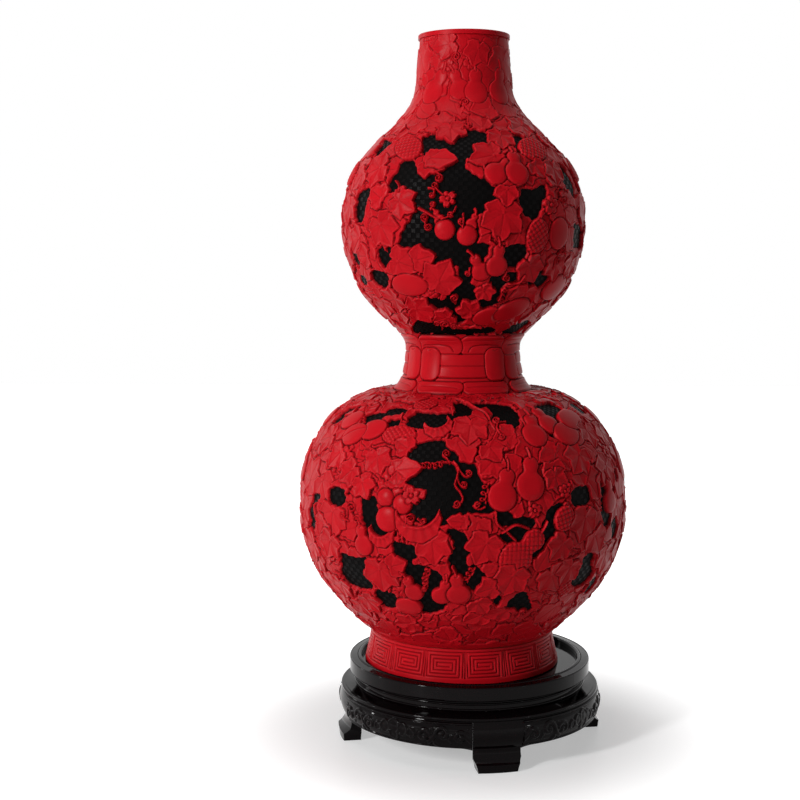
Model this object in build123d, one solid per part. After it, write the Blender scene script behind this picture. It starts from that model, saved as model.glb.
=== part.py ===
from build123d import *
import math
import os

# Double gourd vase of carved lacquer on a metal body, with its turned and carved stand.
# Millimetres, +Z up. The floor is at zero height and the vase's axis is the origin.
# The front is towards -Y, and an azimuth is counted from the front towards +X.

os.makedirs("parts", exist_ok=True)

# Driving dimensions of the vase on its carved outer face. Each rise starts at the level before
foot_radius = 77.1
foot_rise = 25.0
foot_flare = 4.5
belly_rise = 104.0
belly_radius = 129.6
shoulder_rise = 88.5
shoulder_radius = 56.0
waist_rise = 31.5
waist_radius = 45.3
globe_rise = 99.0
globe_radius = 95.5
neck_rise = 101.0
neck_radius = 37.9
mouth_rise = 35.3
mouth_radius = 35.0
lip_height = 3.7
foot_top_radius = foot_radius - foot_flare

# Driving dimensions of the stand, from the floor up, and how it stands under the vase
stand_off_centre = 6.2
stand_turn = 12.0
apron_end_height = 11.0
apron_low_height = 17.2
apron_belly_height = 29.5
apron_top_height = 37.9
waist_moulding_height = 12.4
tray_side = 10.7
tray_bead_rise = 1.3
recess_depth = 4.5
foot_room = 8.8
tray_lip_width = 9.5
apron_stand_out = 8.0
pad_thickness = 1.0
glue_gap = 0.1
foot_count = 4

# Levels that stack up on one another
tray_low = apron_top_height + glue_gap + waist_moulding_height + glue_gap
tray_edge_height = tray_low + tray_side
stand_height = tray_edge_height + tray_bead_rise
tray_floor = stand_height - recess_depth
foot_height = tray_floor + pad_thickness
foot_top_height = foot_height + foot_rise
belly_height = foot_top_height + belly_rise
shoulder_height = belly_height + shoulder_rise
waist_height = shoulder_height + waist_rise
globe_height = waist_height + globe_rise
neck_height = globe_height + neck_rise
mouth_height = neck_height + mouth_rise
total_height = mouth_height + lip_height

# Radii of the stand, worked out from the foot that it takes
recess_radius = foot_radius + foot_room
tray_radius = recess_radius + tray_lip_width
apron_radius = tray_radius + apron_stand_out

# Layers of the vase wall, from outside to inside
carving_depth = 3.4
ground_coat = 0.7
metal_wall = 0.8
lining_coat = 0.6
bond_line = 0.1
seam = 0.1

# Shape of the outline between its stations
belly_swell_power = 2.3
globe_low_handle_share = 0.182
globe_high_handle_share = 0.707
neck_low_handle_share = 0.574
neck_high_handle_share = 0.317
foot_handle_share = 0.32
points_on_a_stretch = 9

# One overrun serves all cuts
overrun = 5.0


def export(shape, node):
    """Writes one sub-part."""
    export_step(shape, "parts/" + node + ".step")


def bezier(start, first, second, end, share):
    """Point on a cubic curve with two handles."""
    rest = 1 - share
    weights = (rest**3, 3 * rest**2 * share, 3 * rest * share**2, share**3)
    corners = (start, first, second, end)
    radius = sum(w * c[0] for w, c in zip(weights, corners))
    height = sum(w * c[1] for w, c in zip(weights, corners))
    return radius, height


def foot_stretch(share):
    """Flared foot, from the floor side up to the corner under the belly."""
    flare = foot_flare
    handle = foot_rise * foot_handle_share
    low = (foot_radius - flare * foot_handle_share, foot_height + handle)
    high = (foot_top_radius, foot_top_height - handle)
    return bezier((foot_radius, foot_height), low, high, (foot_top_radius, foot_top_height), share)


def belly_stretch(share):
    """Lower globe from the foot up to its widest level."""
    swell = 1 - (1 - share) ** belly_swell_power
    radius = foot_top_radius + (belly_radius - foot_top_radius) * swell
    return radius, foot_top_height + (belly_height - foot_top_height) * share


def shoulder_stretch(share):
    """Lower globe from its widest level up to the flat of its shoulder, a quarter of an ellipse."""
    turn = share * math.pi / 2
    radius = shoulder_radius + (belly_radius - shoulder_radius) * math.cos(turn)
    return radius, belly_height + (shoulder_height - belly_height) * math.sin(turn)


def waist_stretch(share):
    """Hollow curve from the shoulder in to the waist, a quarter of an ellipse."""
    turn = share * math.pi / 2
    radius = shoulder_radius - (shoulder_radius - waist_radius) * math.sin(turn)
    return radius, waist_height - (waist_height - shoulder_height) * math.cos(turn)


def globe_stretch(share):
    """Upper globe from the waist up to its widest level."""
    low = (waist_radius, waist_height + globe_rise * globe_low_handle_share)
    high = (globe_radius, globe_height - globe_rise * globe_high_handle_share)
    return bezier((waist_radius, waist_height), low, high, (globe_radius, globe_height), share)


def neck_stretch(share):
    """Upper globe from its widest level up to the foot of the neck."""
    taper = (neck_radius - mouth_radius) / mouth_rise
    drop = neck_rise * neck_high_handle_share
    low = (globe_radius, globe_height + neck_rise * neck_low_handle_share)
    high = (neck_radius + taper * drop, neck_height - drop)
    return bezier((globe_radius, globe_height), low, high, (neck_radius, neck_height), share)


def mouth_stretch(share):
    """Straight tapered neck."""
    radius = neck_radius + (mouth_radius - neck_radius) * share
    return radius, neck_height + (mouth_height - neck_height) * share


def offset_points(stretches, depth):
    """Points of the outline, moved in by a depth square to the outline."""
    step = 0.5 / points_on_a_stretch
    points = []
    for number, stretch in enumerate(stretches):
        first = 0 if number == 0 else 1
        for index in range(first, points_on_a_stretch + 1):
            share = index / points_on_a_stretch
            before = stretch(max(share - step, 0))
            after = stretch(min(share + step, 1))
            along = (after[0] - before[0], after[1] - before[1])
            length = math.hypot(*along)
            here = stretch(share)
            points.append((here[0] - depth * along[1] / length, here[1] + depth * along[0] / length))
    return points


body_stretches = (
    belly_stretch,
    shoulder_stretch,
    waist_stretch,
    globe_stretch,
    neck_stretch,
    mouth_stretch,
)


def spun(outline):
    """Turns a closed outline of lines and splines, given as curves, round the vase's axis."""
    return revolve(Plane.XZ * make_face(outline), Axis.Z)


def layer(stretches, outer_depth, thickness):
    """Closed wall between two depths of the outline."""
    outside = offset_points(stretches, outer_depth)
    inside = offset_points(stretches, outer_depth + thickness)
    outline = [
        Spline(*outside),
        Line(outside[-1], inside[-1]),
        Spline(*reversed(inside)),
        Line(inside[0], outside[0]),
    ]
    return spun(outline)


def between(solid, low, high):
    """The stretch of a round solid between two levels."""
    slab = Pos(0, 0, low) * Cylinder(
        belly_radius + overrun, high - low, align=(Align.CENTER, Align.CENTER, Align.MIN)
    )
    return solid & slab


def above_foot(solid):
    """Trims a solid level with the underside of the foot."""
    return between(solid, foot_height, total_height)


def ring(inner, outer, low, high):
    """Plain ring round the vase's axis."""
    return spun(Polyline((inner, low), (outer, low), (outer, high), (inner, high), close=True))


# Depths at which the layers start
ground_start = carving_depth + bond_line
metal_start = ground_start + ground_coat + bond_line
lining_start = metal_start + metal_wall + bond_line
wall_depth = lining_start + lining_coat

# The sash takes the waist's hollow, and the neck's carving ends on the shoulder of the upper globe
sash_above_shoulder = 4.5
sash_above_waist = 10.0
neck_carving_drop = 28.0
sash_low_height = shoulder_height + sash_above_shoulder
sash_high_height = waist_height + sash_above_waist
neck_low_height = neck_height - neck_carving_drop

# Sleeve inside the waist, over the joint of the two metal globes
sleeve_length = 16.0
sleeve_wall = 1.0

# Base plate inside the foot
base_plate_wall = 0.9
underside_coat = 0.8


# Carving of the red coats. The motifs stand with flat faces over a bed, and the openings show the
# ground. The vase is carved alike at the front and, mirrored, at the back
carving_bed_depth = 1.7
carving_rim = 4.0
skin_stand_out = 1.0
opening_reach = 8.0
motif_drop = 0.3
motif_root_share = 0.92
leaf_reach = 16.0
gourd_reach = 9.5
fruit_reach = 13.0
fruit_width_share = 0.74
gourd_top_share = 0.66
gourd_top_shift_share = 1.35
leaf_lobe_turns = (0, 32, 72, 140)
leaf_lobe_shares = (1.0, 0.5, 0.88, 0.52)

# Each corner of an opening is an azimuth, and a stretch's number plus a share of that stretch. Each
# motif has such a place, a share of the reach of its kind, and the turn of its tip from the right
lower_opening_shares = (
    ((-19.5, 1.4), (-10, 1.47), (-2, 1.385), (2, 1.31), (-13, 1.251), (-19, 1.273)),
    ((-10, 1.192), (0, 1.229), (9.5, 1.192), (9, 1.091), (-7.4, 1.026)),
    ((-4.2, 0.977), (1, 0.936), (5, 0.646), (-0.5, 0.646)),
    ((-22, 0.852), (-15.5, 0.833), (-10.5, 0.682), (-9, 0.538), (-14, 0.53), (-20, 0.682)),
    ((-34.7, 1.132), (-29.5, 1.12), (-27, 0.929), (-33, 0.89)),
    ((-45.3, 0.72), (-34, 0.71), (-35, 0.504), (-47, 0.53)),
    ((-56.3, 1.075), (-60, 0.871), (-65.5, 0.89)),
    ((-22.6, 1.612), (-19, 1.661), (-6, 1.658), (-10, 1.572)),
    ((-3.5, 1.786), (8, 1.786), (3, 1.661)),
    ((14, 1.752), (23.2, 1.769), (26, 1.653), (18, 1.572)),
    ((40, 1.669), (50, 1.71), (48, 1.596)),
    ((11.5, 1.084), (22.5, 1.033), (18, 0.89), (13, 0.938)),
    ((29.5, 1.076), (33, 1.069), (26.5, 0.814), (25, 0.89)),
    ((46.8, 0.71), (54, 0.664), (51, 0.495), (44, 0.504)),
)
lower_leaf_shares = (
    (3, 1.62, 0.88, 262),
    (-63, 1.416, 0.81, 200),
    (-33, 1.355, 0.94, 290),
    (-46, 1.033, 1, 250),
    (-28.5, 0.673, 1, 265),
    (-9.5, 0.91, 0.94, 275),
    (17.5, 0.609, 0.94, 250),
    (33, 1.4, 0.94, 250),
    (62, 1.355, 0.94, 230),
    (43, 1.004, 1, 250),
    (62, 0.729, 0.94, 270),
    (-58, 0.627, 0.88, 220),
    (11, 1.4, 0.75, 225),
    (80, 0.987, 0.94, 260),
    (-79, 1.033, 0.94, 250),
    (78, 0.436, 0.81, 250),
    (-78, 0.47, 0.81, 280),
    (80, 1.462, 0.81, 250),
    (-80, 1.509, 0.81, 280),
)
lower_gourd_shares = (
    (13.2, 1.156, 1.11, 74),
    (24, 1.192, 1.13, 82),
    (31, 1.548, 0.93, 84),
    (-24, 1.069, 0.99, 112),
    (-1, 0.478, 0.91, 96),
    (17.6, 0.776, 1.16, 48),
)
lower_fruit_shares = (
    (-39, 1.524, 0.88, 20),
    (-52, 1.266, 1, 30),
    (46, 1.509, 0.92, 10),
    (34, 0.852, 0.85, 60),
    (-20, 0.404, 0.77, 0),
    (60, 1.653, 0.85, 10),
)
upper_opening_shares = (
    ((-23, 4.478), (-12, 4.503), (-3, 4.428), (-5, 4.332), (-20, 4.347)),
    ((-1, 4.503), (9, 4.545), (17, 4.469), (8, 4.347)),
    ((0, 4.247), (12, 4.159), (13, 4.034), (4, 4.016)),
    ((-10, 4.209), (-4, 4.152), (-8, 4.058), (-22, 4.052), (-20, 4.194)),
    ((-35, 4.187), (-31, 4.285), (-25, 4.202), (-29, 4.134)),
    ((-28, 3.922), (-20, 3.999), (-13, 3.938), (-19, 3.872)),
    ((-12, 3.791), (-3, 3.86), (4, 3.842), (-1, 3.672)),
    ((-17, 3.561), (0, 3.634), (8, 3.594), (-2, 3.385), (-17, 3.415)),
    ((28.6, 4.124), (40, 4.124), (33, 4.004)),
    ((15, 3.723), (26, 3.737), (22, 3.577), (12, 3.544)),
    ((-58, 4.11), (-50, 4.131), (-53, 3.994)),
    ((57, 4.262), (65, 4.187), (62, 4.11)),
)
upper_leaf_shares = (
    (-14, 4.269, 0.75, 350),
    (17, 4.308, 0.81, 195),
    (-38, 3.984, 0.88, 250),
    (-46, 4.262, 0.81, 200),
    (-32, 3.791, 0.81, 340),
    (18, 4.01, 0.88, 262),
    (51, 4.231, 0.75, 260),
    (36, 3.694, 0.75, 260),
    (67, 3.994, 0.75, 240),
    (-60, 3.842, 0.81, 250),
    (-42, 3.535, 0.75, 200),
    (80, 3.984, 0.81, 260),
    (-79, 4.016, 0.81, 280),
    (-80, 4.293, 0.75, 250),
    (79, 3.694, 0.69, 260),
)
upper_gourd_shares = (
    (26.3, 4.217, 0.91, 88),
    (11, 3.778, 0.84, 100),
    (-8.2, 3.951, 0.8, 112),
    (2, 3.93, 0.78, 70),
)
upper_fruit_shares = (
    (-33, 4.436, 0.92, 150),
    (42, 4.404, 0.92, 20),
    (50, 3.922, 0.92, 90),
    (33, 3.463, 0.85, 30),
    (-20, 3.687, 0.69, 0),
    (62, 3.694, 0.85, 10),
)


def carving_plane(azimuth, place):
    """Plane on the carved face, with its x axis to the right and its y axis up the outline."""
    number = int(place)
    share = place - number
    step = 0.5 / points_on_a_stretch
    before = body_stretches[number](max(share - step, 0))
    after = body_stretches[number](min(share + step, 1))
    radius, height = body_stretches[number](share)
    length = math.hypot(after[0] - before[0], after[1] - before[1])
    out = (after[1] - before[1]) / length
    up = (before[0] - after[0]) / length
    turn = math.radians(azimuth)
    right = (math.cos(turn), math.sin(turn), 0)
    origin = (radius * right[1], -radius * right[0], height)
    return Plane(origin, x_dir=right, z_dir=(out * right[1], -out * right[0], up))


def opening_cut(corners):
    """Prism that cuts one opening through the coat."""
    azimuth = sum(corner[0] for corner in corners) / len(corners)
    place = sum(corner[1] for corner in corners) / len(corners)
    middle = carving_plane(azimuth, place)
    points = []
    for corner in corners:
        local = middle.to_local_coords(carving_plane(*corner).origin)
        points.append((local.X, local.Y))
    return extrude(middle * make_face(Polyline(*points, close=True)), opening_reach, both=True)


def leaf_face(reach):
    """Lobed leaf with its stalk end to the left of its tip."""
    points = []
    for turn, share in zip(leaf_lobe_turns, leaf_lobe_shares):
        angle = math.radians(turn)
        points.append((reach * share * math.cos(angle), reach * share * math.sin(angle)))
    mirrored = [(point[0], -point[1]) for point in points[1:]]
    return make_face(Polyline(*points, *reversed(mirrored), close=True))


def gourd_face(reach):
    """Gourd of two bulbs, the smaller one towards its tip."""
    top = Pos(reach * gourd_top_shift_share, 0) * Circle(reach * gourd_top_share)
    return Circle(reach) + top


def fruit_face(reach):
    """Long round fruit."""
    return Ellipse(reach, reach * fruit_width_share)


def motifs(rows, shape, full_reach):
    """Motifs of one kind, rooted in the bed."""
    root = carving_depth * motif_root_share
    prisms = []
    for azimuth, place, share, turn in rows:
        face = Rot(0, 0, turn) * shape(full_reach * share)
        prisms.append(extrude(carving_plane(azimuth, place).offset(-root) * face, root - motif_drop))
    return prisms


def both_sides(prisms):
    """Prisms of the front, and their mirror images at the back."""
    return prisms + [mirror(prism, Plane.XZ) for prism in prisms]


def carved(coat, low, high, prisms, openings):
    """Lowers a coat to its bed between two rims, cuts its openings and sets its motifs on it."""
    skin = layer(body_stretches, -skin_stand_out, skin_stand_out + carving_bed_depth)
    bed = coat - between(skin, low + carving_rim, high - carving_rim)
    bed = bed - both_sides([opening_cut(corners) for corners in openings])
    return bed + both_sides(prisms)


def make_carved_coats():
    """Red coat in its zones: foot band, lower globe, sash, upper globe and neck."""
    export(above_foot(layer((foot_stretch,), 0, carving_depth)), "coat_foot_band")
    coat = layer(body_stretches, 0, carving_depth)
    half = seam / 2
    lower = between(coat, foot_top_height, sash_low_height - half)
    prisms = motifs(lower_leaf_shares, leaf_face, leaf_reach)
    prisms += motifs(lower_gourd_shares, gourd_face, gourd_reach)
    prisms += motifs(lower_fruit_shares, fruit_face, fruit_reach)
    lower = carved(lower, foot_top_height, sash_low_height, prisms, lower_opening_shares)
    export(lower, "coat_lower_globe")
    export(between(coat, sash_low_height + half, sash_high_height - half), "coat_waist_sash")
    upper = between(coat, sash_high_height + half, neck_low_height - half)
    prisms = motifs(upper_leaf_shares, leaf_face, leaf_reach)
    prisms += motifs(upper_gourd_shares, gourd_face, gourd_reach)
    prisms += motifs(upper_fruit_shares, fruit_face, fruit_reach)
    upper = carved(upper, sash_high_height, neck_low_height, prisms, upper_opening_shares)
    export(upper, "coat_upper_globe")
    export(between(coat, neck_low_height + half, mouth_height), "coat_neck")


def make_ground_coats():
    """Black coat under the carving, in two halves that meet at the waist."""
    coat = layer(body_stretches, ground_start, ground_coat)
    half = seam / 2
    export(between(coat, foot_top_height, waist_height - half), "ground_lower_globe")
    export(between(coat, waist_height + half, total_height), "ground_upper_globe")


def make_metal_globes():
    """Thin metal body, spun in two halves that meet at the waist."""
    wall = layer(body_stretches, metal_start, metal_wall)
    half = seam / 2
    export(between(wall, foot_top_height, waist_height - half), "metal_lower_globe")
    export(between(wall, waist_height + half, total_height), "metal_upper_globe")


def sleeve_radius():
    """Outer radius of the sleeve, which fits the waist from inside."""
    return waist_radius - metal_start - metal_wall - bond_line


def make_waist_sleeve():
    """Sleeve that carries the soldered joint of the two globes."""
    low = waist_height - sleeve_length / 2
    high = waist_height + sleeve_length / 2
    export(ring(sleeve_radius() - sleeve_wall, sleeve_radius(), low, high), "waist_sleeve")


def hoop_radius():
    """Outer radius of the foot hoop at its top, inside the carved foot band."""
    return foot_top_radius - carving_depth - bond_line


def seat_height():
    """Level of the hoop's top edge, on which the base plate is soldered."""
    return offset_points(body_stretches, metal_start)[0][1] - bond_line


def make_foot_hoop():
    """Flared metal hoop inside the foot band, run up to carry the base plate."""
    outside = offset_points((foot_stretch,), carving_depth + bond_line)
    inside = offset_points((foot_stretch,), carving_depth + bond_line + metal_wall)
    top = seat_height()
    inner = hoop_radius() - metal_wall
    outline = [
        Spline(*outside),
        Polyline(outside[-1], (hoop_radius(), top), (inner, top), inside[-1]),
        Spline(*reversed(inside)),
        Line(inside[0], outside[0]),
    ]
    export(above_foot(spun(outline)), "foot_hoop")


def plate_radius():
    """Radius of the base plate, which ends inside the lower globe's edge."""
    return offset_points(body_stretches, metal_start + metal_wall)[0][0] - bond_line


def make_base():
    """Base plate soldered on the hoop, and the black coat on its underside."""
    low = seat_height()
    plate = Pos(0, 0, low) * Cylinder(
        plate_radius(), base_plate_wall, align=(Align.CENTER, Align.CENTER, Align.MIN)
    )
    export(plate, "base_plate")
    coat = Pos(0, 0, low - bond_line - underside_coat) * Cylinder(
        hoop_radius() - metal_wall - bond_line,
        underside_coat,
        align=(Align.CENTER, Align.CENTER, Align.MIN),
    )
    export(coat, "underside_coat")


def make_linings():
    """Black lining: a cup in the lower globe and a tube in the upper one, both up to the sleeve."""
    outside = offset_points(body_stretches, lining_start)
    inside = offset_points(body_stretches, lining_start + lining_coat)
    low = seat_height() + base_plate_wall + bond_line
    floor = low + lining_coat
    outside = [point for point in outside if point[1] > low + seam]
    inside = [point for point in inside if point[1] > floor + seam]
    rim = plate_radius() - bond_line
    outline = [
        Polyline((0, floor), (0, low), (rim, low), outside[0]),
        Spline(*outside),
        Line(outside[-1], inside[-1]),
        Spline(*reversed(inside)),
        Polyline(inside[0], (rim - lining_coat, floor), (0, floor)),
    ]
    lining = spun(outline)
    low_end = waist_height - sleeve_length / 2 - seam
    high_end = waist_height + sleeve_length / 2 + seam
    export(between(lining, foot_top_height, low_end), "lining_lower_globe")
    export(between(lining, high_end, total_height), "lining_upper_globe")


# Mouth ring and lip
collar_wall = 0.9
bore_radius = mouth_radius - wall_depth - bond_line - collar_wall
collar_length = 12.0
flange_wall = 1.6
lip_overhang = 0.2
lip_round = 1.0
lip_bore_step = 0.4


def make_mouth():
    """Metal ring hemmed into the mouth, and the red lip over it."""
    low = mouth_height - collar_length
    seat = mouth_height + seam
    top = seat + flange_wall
    flange = mouth_radius - carving_depth
    outline = Polyline(
        (bore_radius, low),
        (bore_radius + collar_wall, low),
        (bore_radius + collar_wall, seat),
        (flange, seat),
        (flange, top),
        (bore_radius, top),
        close=True,
    )
    export(spun(outline), "mouth_ring")
    outer = mouth_radius + lip_overhang
    inner = bore_radius + lip_bore_step
    outline = [
        Polyline(
            (outer, total_height - lip_round),
            (outer, seat),
            (flange + bond_line, seat),
            (flange + bond_line, top + bond_line),
            (inner, top + bond_line),
            (inner, total_height),
            (outer - lip_round, total_height),
        ),
        RadiusArc((outer - lip_round, total_height), (outer, total_height - lip_round), lip_round),
    ]
    export(spun(outline), "coat_lip")


# Pad that lies loose between the vase and its stand
pad_inset = 3.0


def make_pad():
    """Felt pad, hidden under the foot."""
    pad = Pos(0, 0, foot_height - pad_thickness) * Cylinder(
        foot_radius - pad_inset, pad_thickness, align=(Align.CENTER, Align.CENTER, Align.MIN)
    )
    export(pad, "felt_pad")


# Built-up rings of the stand
joints_in_a_ring = 4


def front_at(azimuth):
    """Place on the stand for something that was built at the front of it."""
    return Pos(stand_off_centre, 0, 0) * Rot(0, 0, azimuth)


def sector(outline, azimuth, width):
    """Arc of a ring, given by its outline, centred on an azimuth of the stand."""
    solid = revolve(Plane.XZ * make_face(outline), Axis.Z, width)
    return front_at(azimuth) * Rot(0, 0, -90 - width / 2) * solid


def gap_angle(radius):
    """Angle that a glue gap takes on a ring."""
    return math.degrees(glue_gap / radius)


# Tray frame: a built-up ring with a rebate for the panel
ledge_width = 9.9
ledge_radius = recess_radius - ledge_width
panel_thickness = 5.0
tray_edge_round = 0.6
tray_low_round = 1.6
slope_rise = 0.7
bead_groove = 0.5
bead_groove_width = 0.5
bead_width = 3.0
slope_inner_radius = recess_radius + bead_width + bead_groove_width
tongue_length = 12.0
tongue_width = 5.0
tongue_thickness = 2.4


def tray_outline():
    """Section of the tray frame."""
    panel_low = tray_floor - panel_thickness
    crest = tray_edge_height + slope_rise
    bead_outer = recess_radius + bead_width
    bead_inner = recess_radius
    bead_middle = (bead_outer + bead_inner) / 2
    return [
        Polyline(
            (tray_radius, tray_edge_height - tray_edge_round),
            (tray_radius, tray_low + tray_low_round),
        ),
        RadiusArc(
            (tray_radius, tray_low + tray_low_round),
            (tray_radius - tray_low_round, tray_low),
            tray_low_round,
        ),
        Polyline(
            (tray_radius - tray_low_round, tray_low),
            (ledge_radius, tray_low),
            (ledge_radius, panel_low - glue_gap),
            (recess_radius, panel_low - glue_gap),
            (bead_inner, crest - bead_groove),
        ),
        ThreePointArc(
            (bead_inner, crest - bead_groove),
            (bead_middle, stand_height),
            (bead_outer, crest - bead_groove),
        ),
        Polyline(
            (bead_outer, crest - bead_groove),
            (slope_inner_radius, crest),
            (tray_radius - tray_edge_round, tray_edge_height),
        ),
        RadiusArc(
            (tray_radius - tray_edge_round, tray_edge_height),
            (tray_radius, tray_edge_height - tray_edge_round),
            tray_edge_round,
        ),
    ]


def tongue(azimuth, clearance):
    """Loose tongue across a joint of the tray frame, or the slot for it."""
    middle = (recess_radius + tray_radius) / 2
    level = (tray_low + tray_edge_height) / 2
    plate = Pos(0, -middle, level) * Box(
        tongue_length + 2 * clearance,
        tongue_width + 2 * clearance,
        tongue_thickness + 2 * clearance,
    )
    return front_at(azimuth) * plate


# Ring of the waist moulding, which stands back under the tray
waist_set_back = 4.4
waist_ring_wall = 11.0
waist_ring_radius = tray_radius - waist_set_back
waist_ring_inner = waist_ring_radius - waist_ring_wall

# Dowels between the tray frame and the waist moulding
dowel_radius = 1.5
dowel_depth = 5.0
dowel_count = 8


def dowel(azimuth, clearance):
    """Dowel that stands in both rings outside the panel's rebate, or the hole for it."""
    half = dowel_depth + clearance
    circle = (recess_radius + waist_ring_radius) / 2
    pin = Pos(0, -circle, tray_low) * Cylinder(dowel_radius + clearance, 2 * half)
    return front_at(azimuth) * pin


def dowel_azimuths():
    """Azimuths of the dowels, clear of the feet and of the joints."""
    pitch = 360 / dowel_count
    return [stand_turn + (number + 0.25) * pitch for number in range(dowel_count)]


def arc_azimuths(shift_share):
    """Middles of the arcs of a ring, whose joints are shifted by a share of one arc."""
    pitch = 360 / joints_in_a_ring
    return [stand_turn + (number + shift_share) * pitch for number in range(joints_in_a_ring)]


def make_tray_frame():
    """Four arcs, with slots for the loose tongues and holes for the dowels."""
    pitch = 360 / joints_in_a_ring
    middles = arc_azimuths(0)
    joints = [middle + pitch / 2 for middle in middles]
    cuts = [tongue(azimuth, glue_gap) for azimuth in joints]
    cuts += [dowel(azimuth, glue_gap) for azimuth in dowel_azimuths()]
    for number, middle in enumerate(middles):
        arc = sector(tray_outline(), middle, pitch - gap_angle(tray_radius))
        for cut in cuts:
            arc = arc - cut
        export(arc, "tray_frame_arc_" + str(number + 1))
    export(Compound([tongue(azimuth, 0) for azimuth in joints]), "tray_frame_tongues")
    pins = Compound([dowel(azimuth, 0) for azimuth in dowel_azimuths()])
    export(pins, "ring_dowels")


# Floating panel of the tray, and the battens under it
panel_clearance = 0.2
batten_width = 10.0
batten_offset = 32.0


def make_tray_panel():
    """Round panel in the frame's rebate, with two battens glued under it."""
    low = tray_floor - panel_thickness
    panel = Pos(0, 0, low) * Cylinder(
        recess_radius - panel_clearance,
        panel_thickness,
        align=(Align.CENTER, Align.CENTER, Align.MIN),
    )
    export(front_at(0) * panel, "tray_panel")
    thickness = low - glue_gap - tray_low
    reach = ledge_radius - glue_gap
    edge = batten_offset + batten_width / 2
    length = 2 * math.sqrt(reach**2 - edge**2)
    battens = []
    for side in (-1, 1):
        batten = Pos(0, side * batten_offset, tray_low) * Box(
            length, batten_width, thickness, align=(Align.CENTER, Align.CENTER, Align.MIN)
        )
        battens.append(front_at(stand_turn) * batten)
    export(Compound(battens), "panel_battens")


# Waist moulding under the tray: two fine beads, a cove and a larger bead
fine_bead_radius = 0.9
fine_bead_drop = 2.5
fine_bead_pitch = 4.4
cove_set_back = 4.1
cove_rise = 3.0
cove_height = 1.6
cove_hollow_share = 0.3
large_bead_height = 2.6
large_bead_set_back = 1.1
cove_radius = apron_radius - cove_set_back
large_bead_radius = apron_radius - large_bead_set_back
fine_bead_high_level = tray_low - fine_bead_drop
fine_bead_low_level = fine_bead_high_level - fine_bead_pitch
cove_low_height = apron_top_height + glue_gap + cove_rise
cove_start_height = cove_low_height + cove_height


def waist_outline():
    """Section of the waist moulding."""
    top = tray_low - glue_gap
    low = apron_top_height + glue_gap
    bead_top = low + large_bead_height
    fine = fine_bead_radius
    return [
        Polyline(
            (waist_ring_radius, fine_bead_low_level - fine),
            (waist_ring_radius, cove_start_height),
        ),
        Spline(
            (waist_ring_radius, cove_start_height),
            ((waist_ring_radius + cove_radius) / 2, cove_low_height + cove_height * cove_hollow_share),
            (cove_radius, cove_low_height),
        ),
        Polyline(
            (cove_radius, cove_low_height),
            (cove_radius, bead_top),
            (large_bead_radius - large_bead_height / 2, bead_top),
        ),
        ThreePointArc(
            (large_bead_radius - large_bead_height / 2, bead_top),
            (large_bead_radius, (bead_top + low) / 2),
            (large_bead_radius - large_bead_height / 2, low),
        ),
        Polyline(
            (large_bead_radius - large_bead_height / 2, low),
            (waist_ring_inner, low),
            (waist_ring_inner, top),
            (waist_ring_radius, top),
            (waist_ring_radius, fine_bead_high_level + fine),
        ),
        ThreePointArc(
            (waist_ring_radius, fine_bead_high_level + fine),
            (waist_ring_radius + fine, fine_bead_high_level),
            (waist_ring_radius, fine_bead_high_level - fine),
        ),
        Line(
            (waist_ring_radius, fine_bead_high_level - fine),
            (waist_ring_radius, fine_bead_low_level + fine),
        ),
        ThreePointArc(
            (waist_ring_radius, fine_bead_low_level + fine),
            (waist_ring_radius + fine, fine_bead_low_level),
            (waist_ring_radius, fine_bead_low_level - fine),
        ),
    ]


# Feet: a wide block that carries the corner of the apron and ends in a toe
foot_half_width = 19.0
foot_floor_half_width = 15.0
foot_narrow_height = 11.0
foot_inner_depth = 12.4
foot_head_depth = 20.4
foot_head_height = 24.0
foot_head_slope = 5.0
foot_hollow_height = 12.0
toe_stand_out = 1.4
toe_undercut = 0.6
toe_height = 6.0
tenon_length = 4.5
tenon_width = 16.0
tenon_thickness = 5.0
foot_inner_radius = apron_radius - foot_inner_depth
foot_head_radius = apron_radius - foot_head_depth
toe_radius = apron_radius + toe_stand_out
toe_floor_radius = toe_radius - toe_undercut

# Apron between the feet
apron_wall = 8.0
apron_low_set_back = 3.8
apron_end_set_back = 6.9
apron_top_set_back = 2.2
apron_low_radius = apron_radius - apron_low_set_back
apron_end_radius = apron_radius - apron_end_set_back
apron_top_radius = apron_radius - apron_top_set_back
apron_lower_share = 0.6
apron_arch_run = 13.0
apron_arch_share = 0.75


def apron_face():
    """Outer face of the apron, from its top down to its lower edge."""
    return [
        (apron_top_radius, apron_top_height),
        (apron_radius, apron_belly_height),
        (
            apron_radius - (apron_radius - apron_low_radius) * apron_lower_share**2,
            apron_belly_height - (apron_belly_height - apron_low_height) * apron_lower_share,
        ),
        (apron_low_radius, apron_low_height),
    ]


def apron_outline():
    """Section of the apron, down to the level that its ends reach."""
    face = apron_face()
    inner = apron_top_radius - apron_wall
    return [
        Spline(*face),
        Polyline(
            face[-1],
            (apron_end_radius, apron_end_height),
            (apron_end_radius - apron_wall, apron_end_height),
            (inner, apron_low_height),
            (inner, apron_top_height),
            face[0],
        ),
    ]


def foot_angle():
    """Angle that a foot takes on the apron's ring."""
    return 2 * math.degrees(math.asin(foot_half_width / apron_radius))


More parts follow.
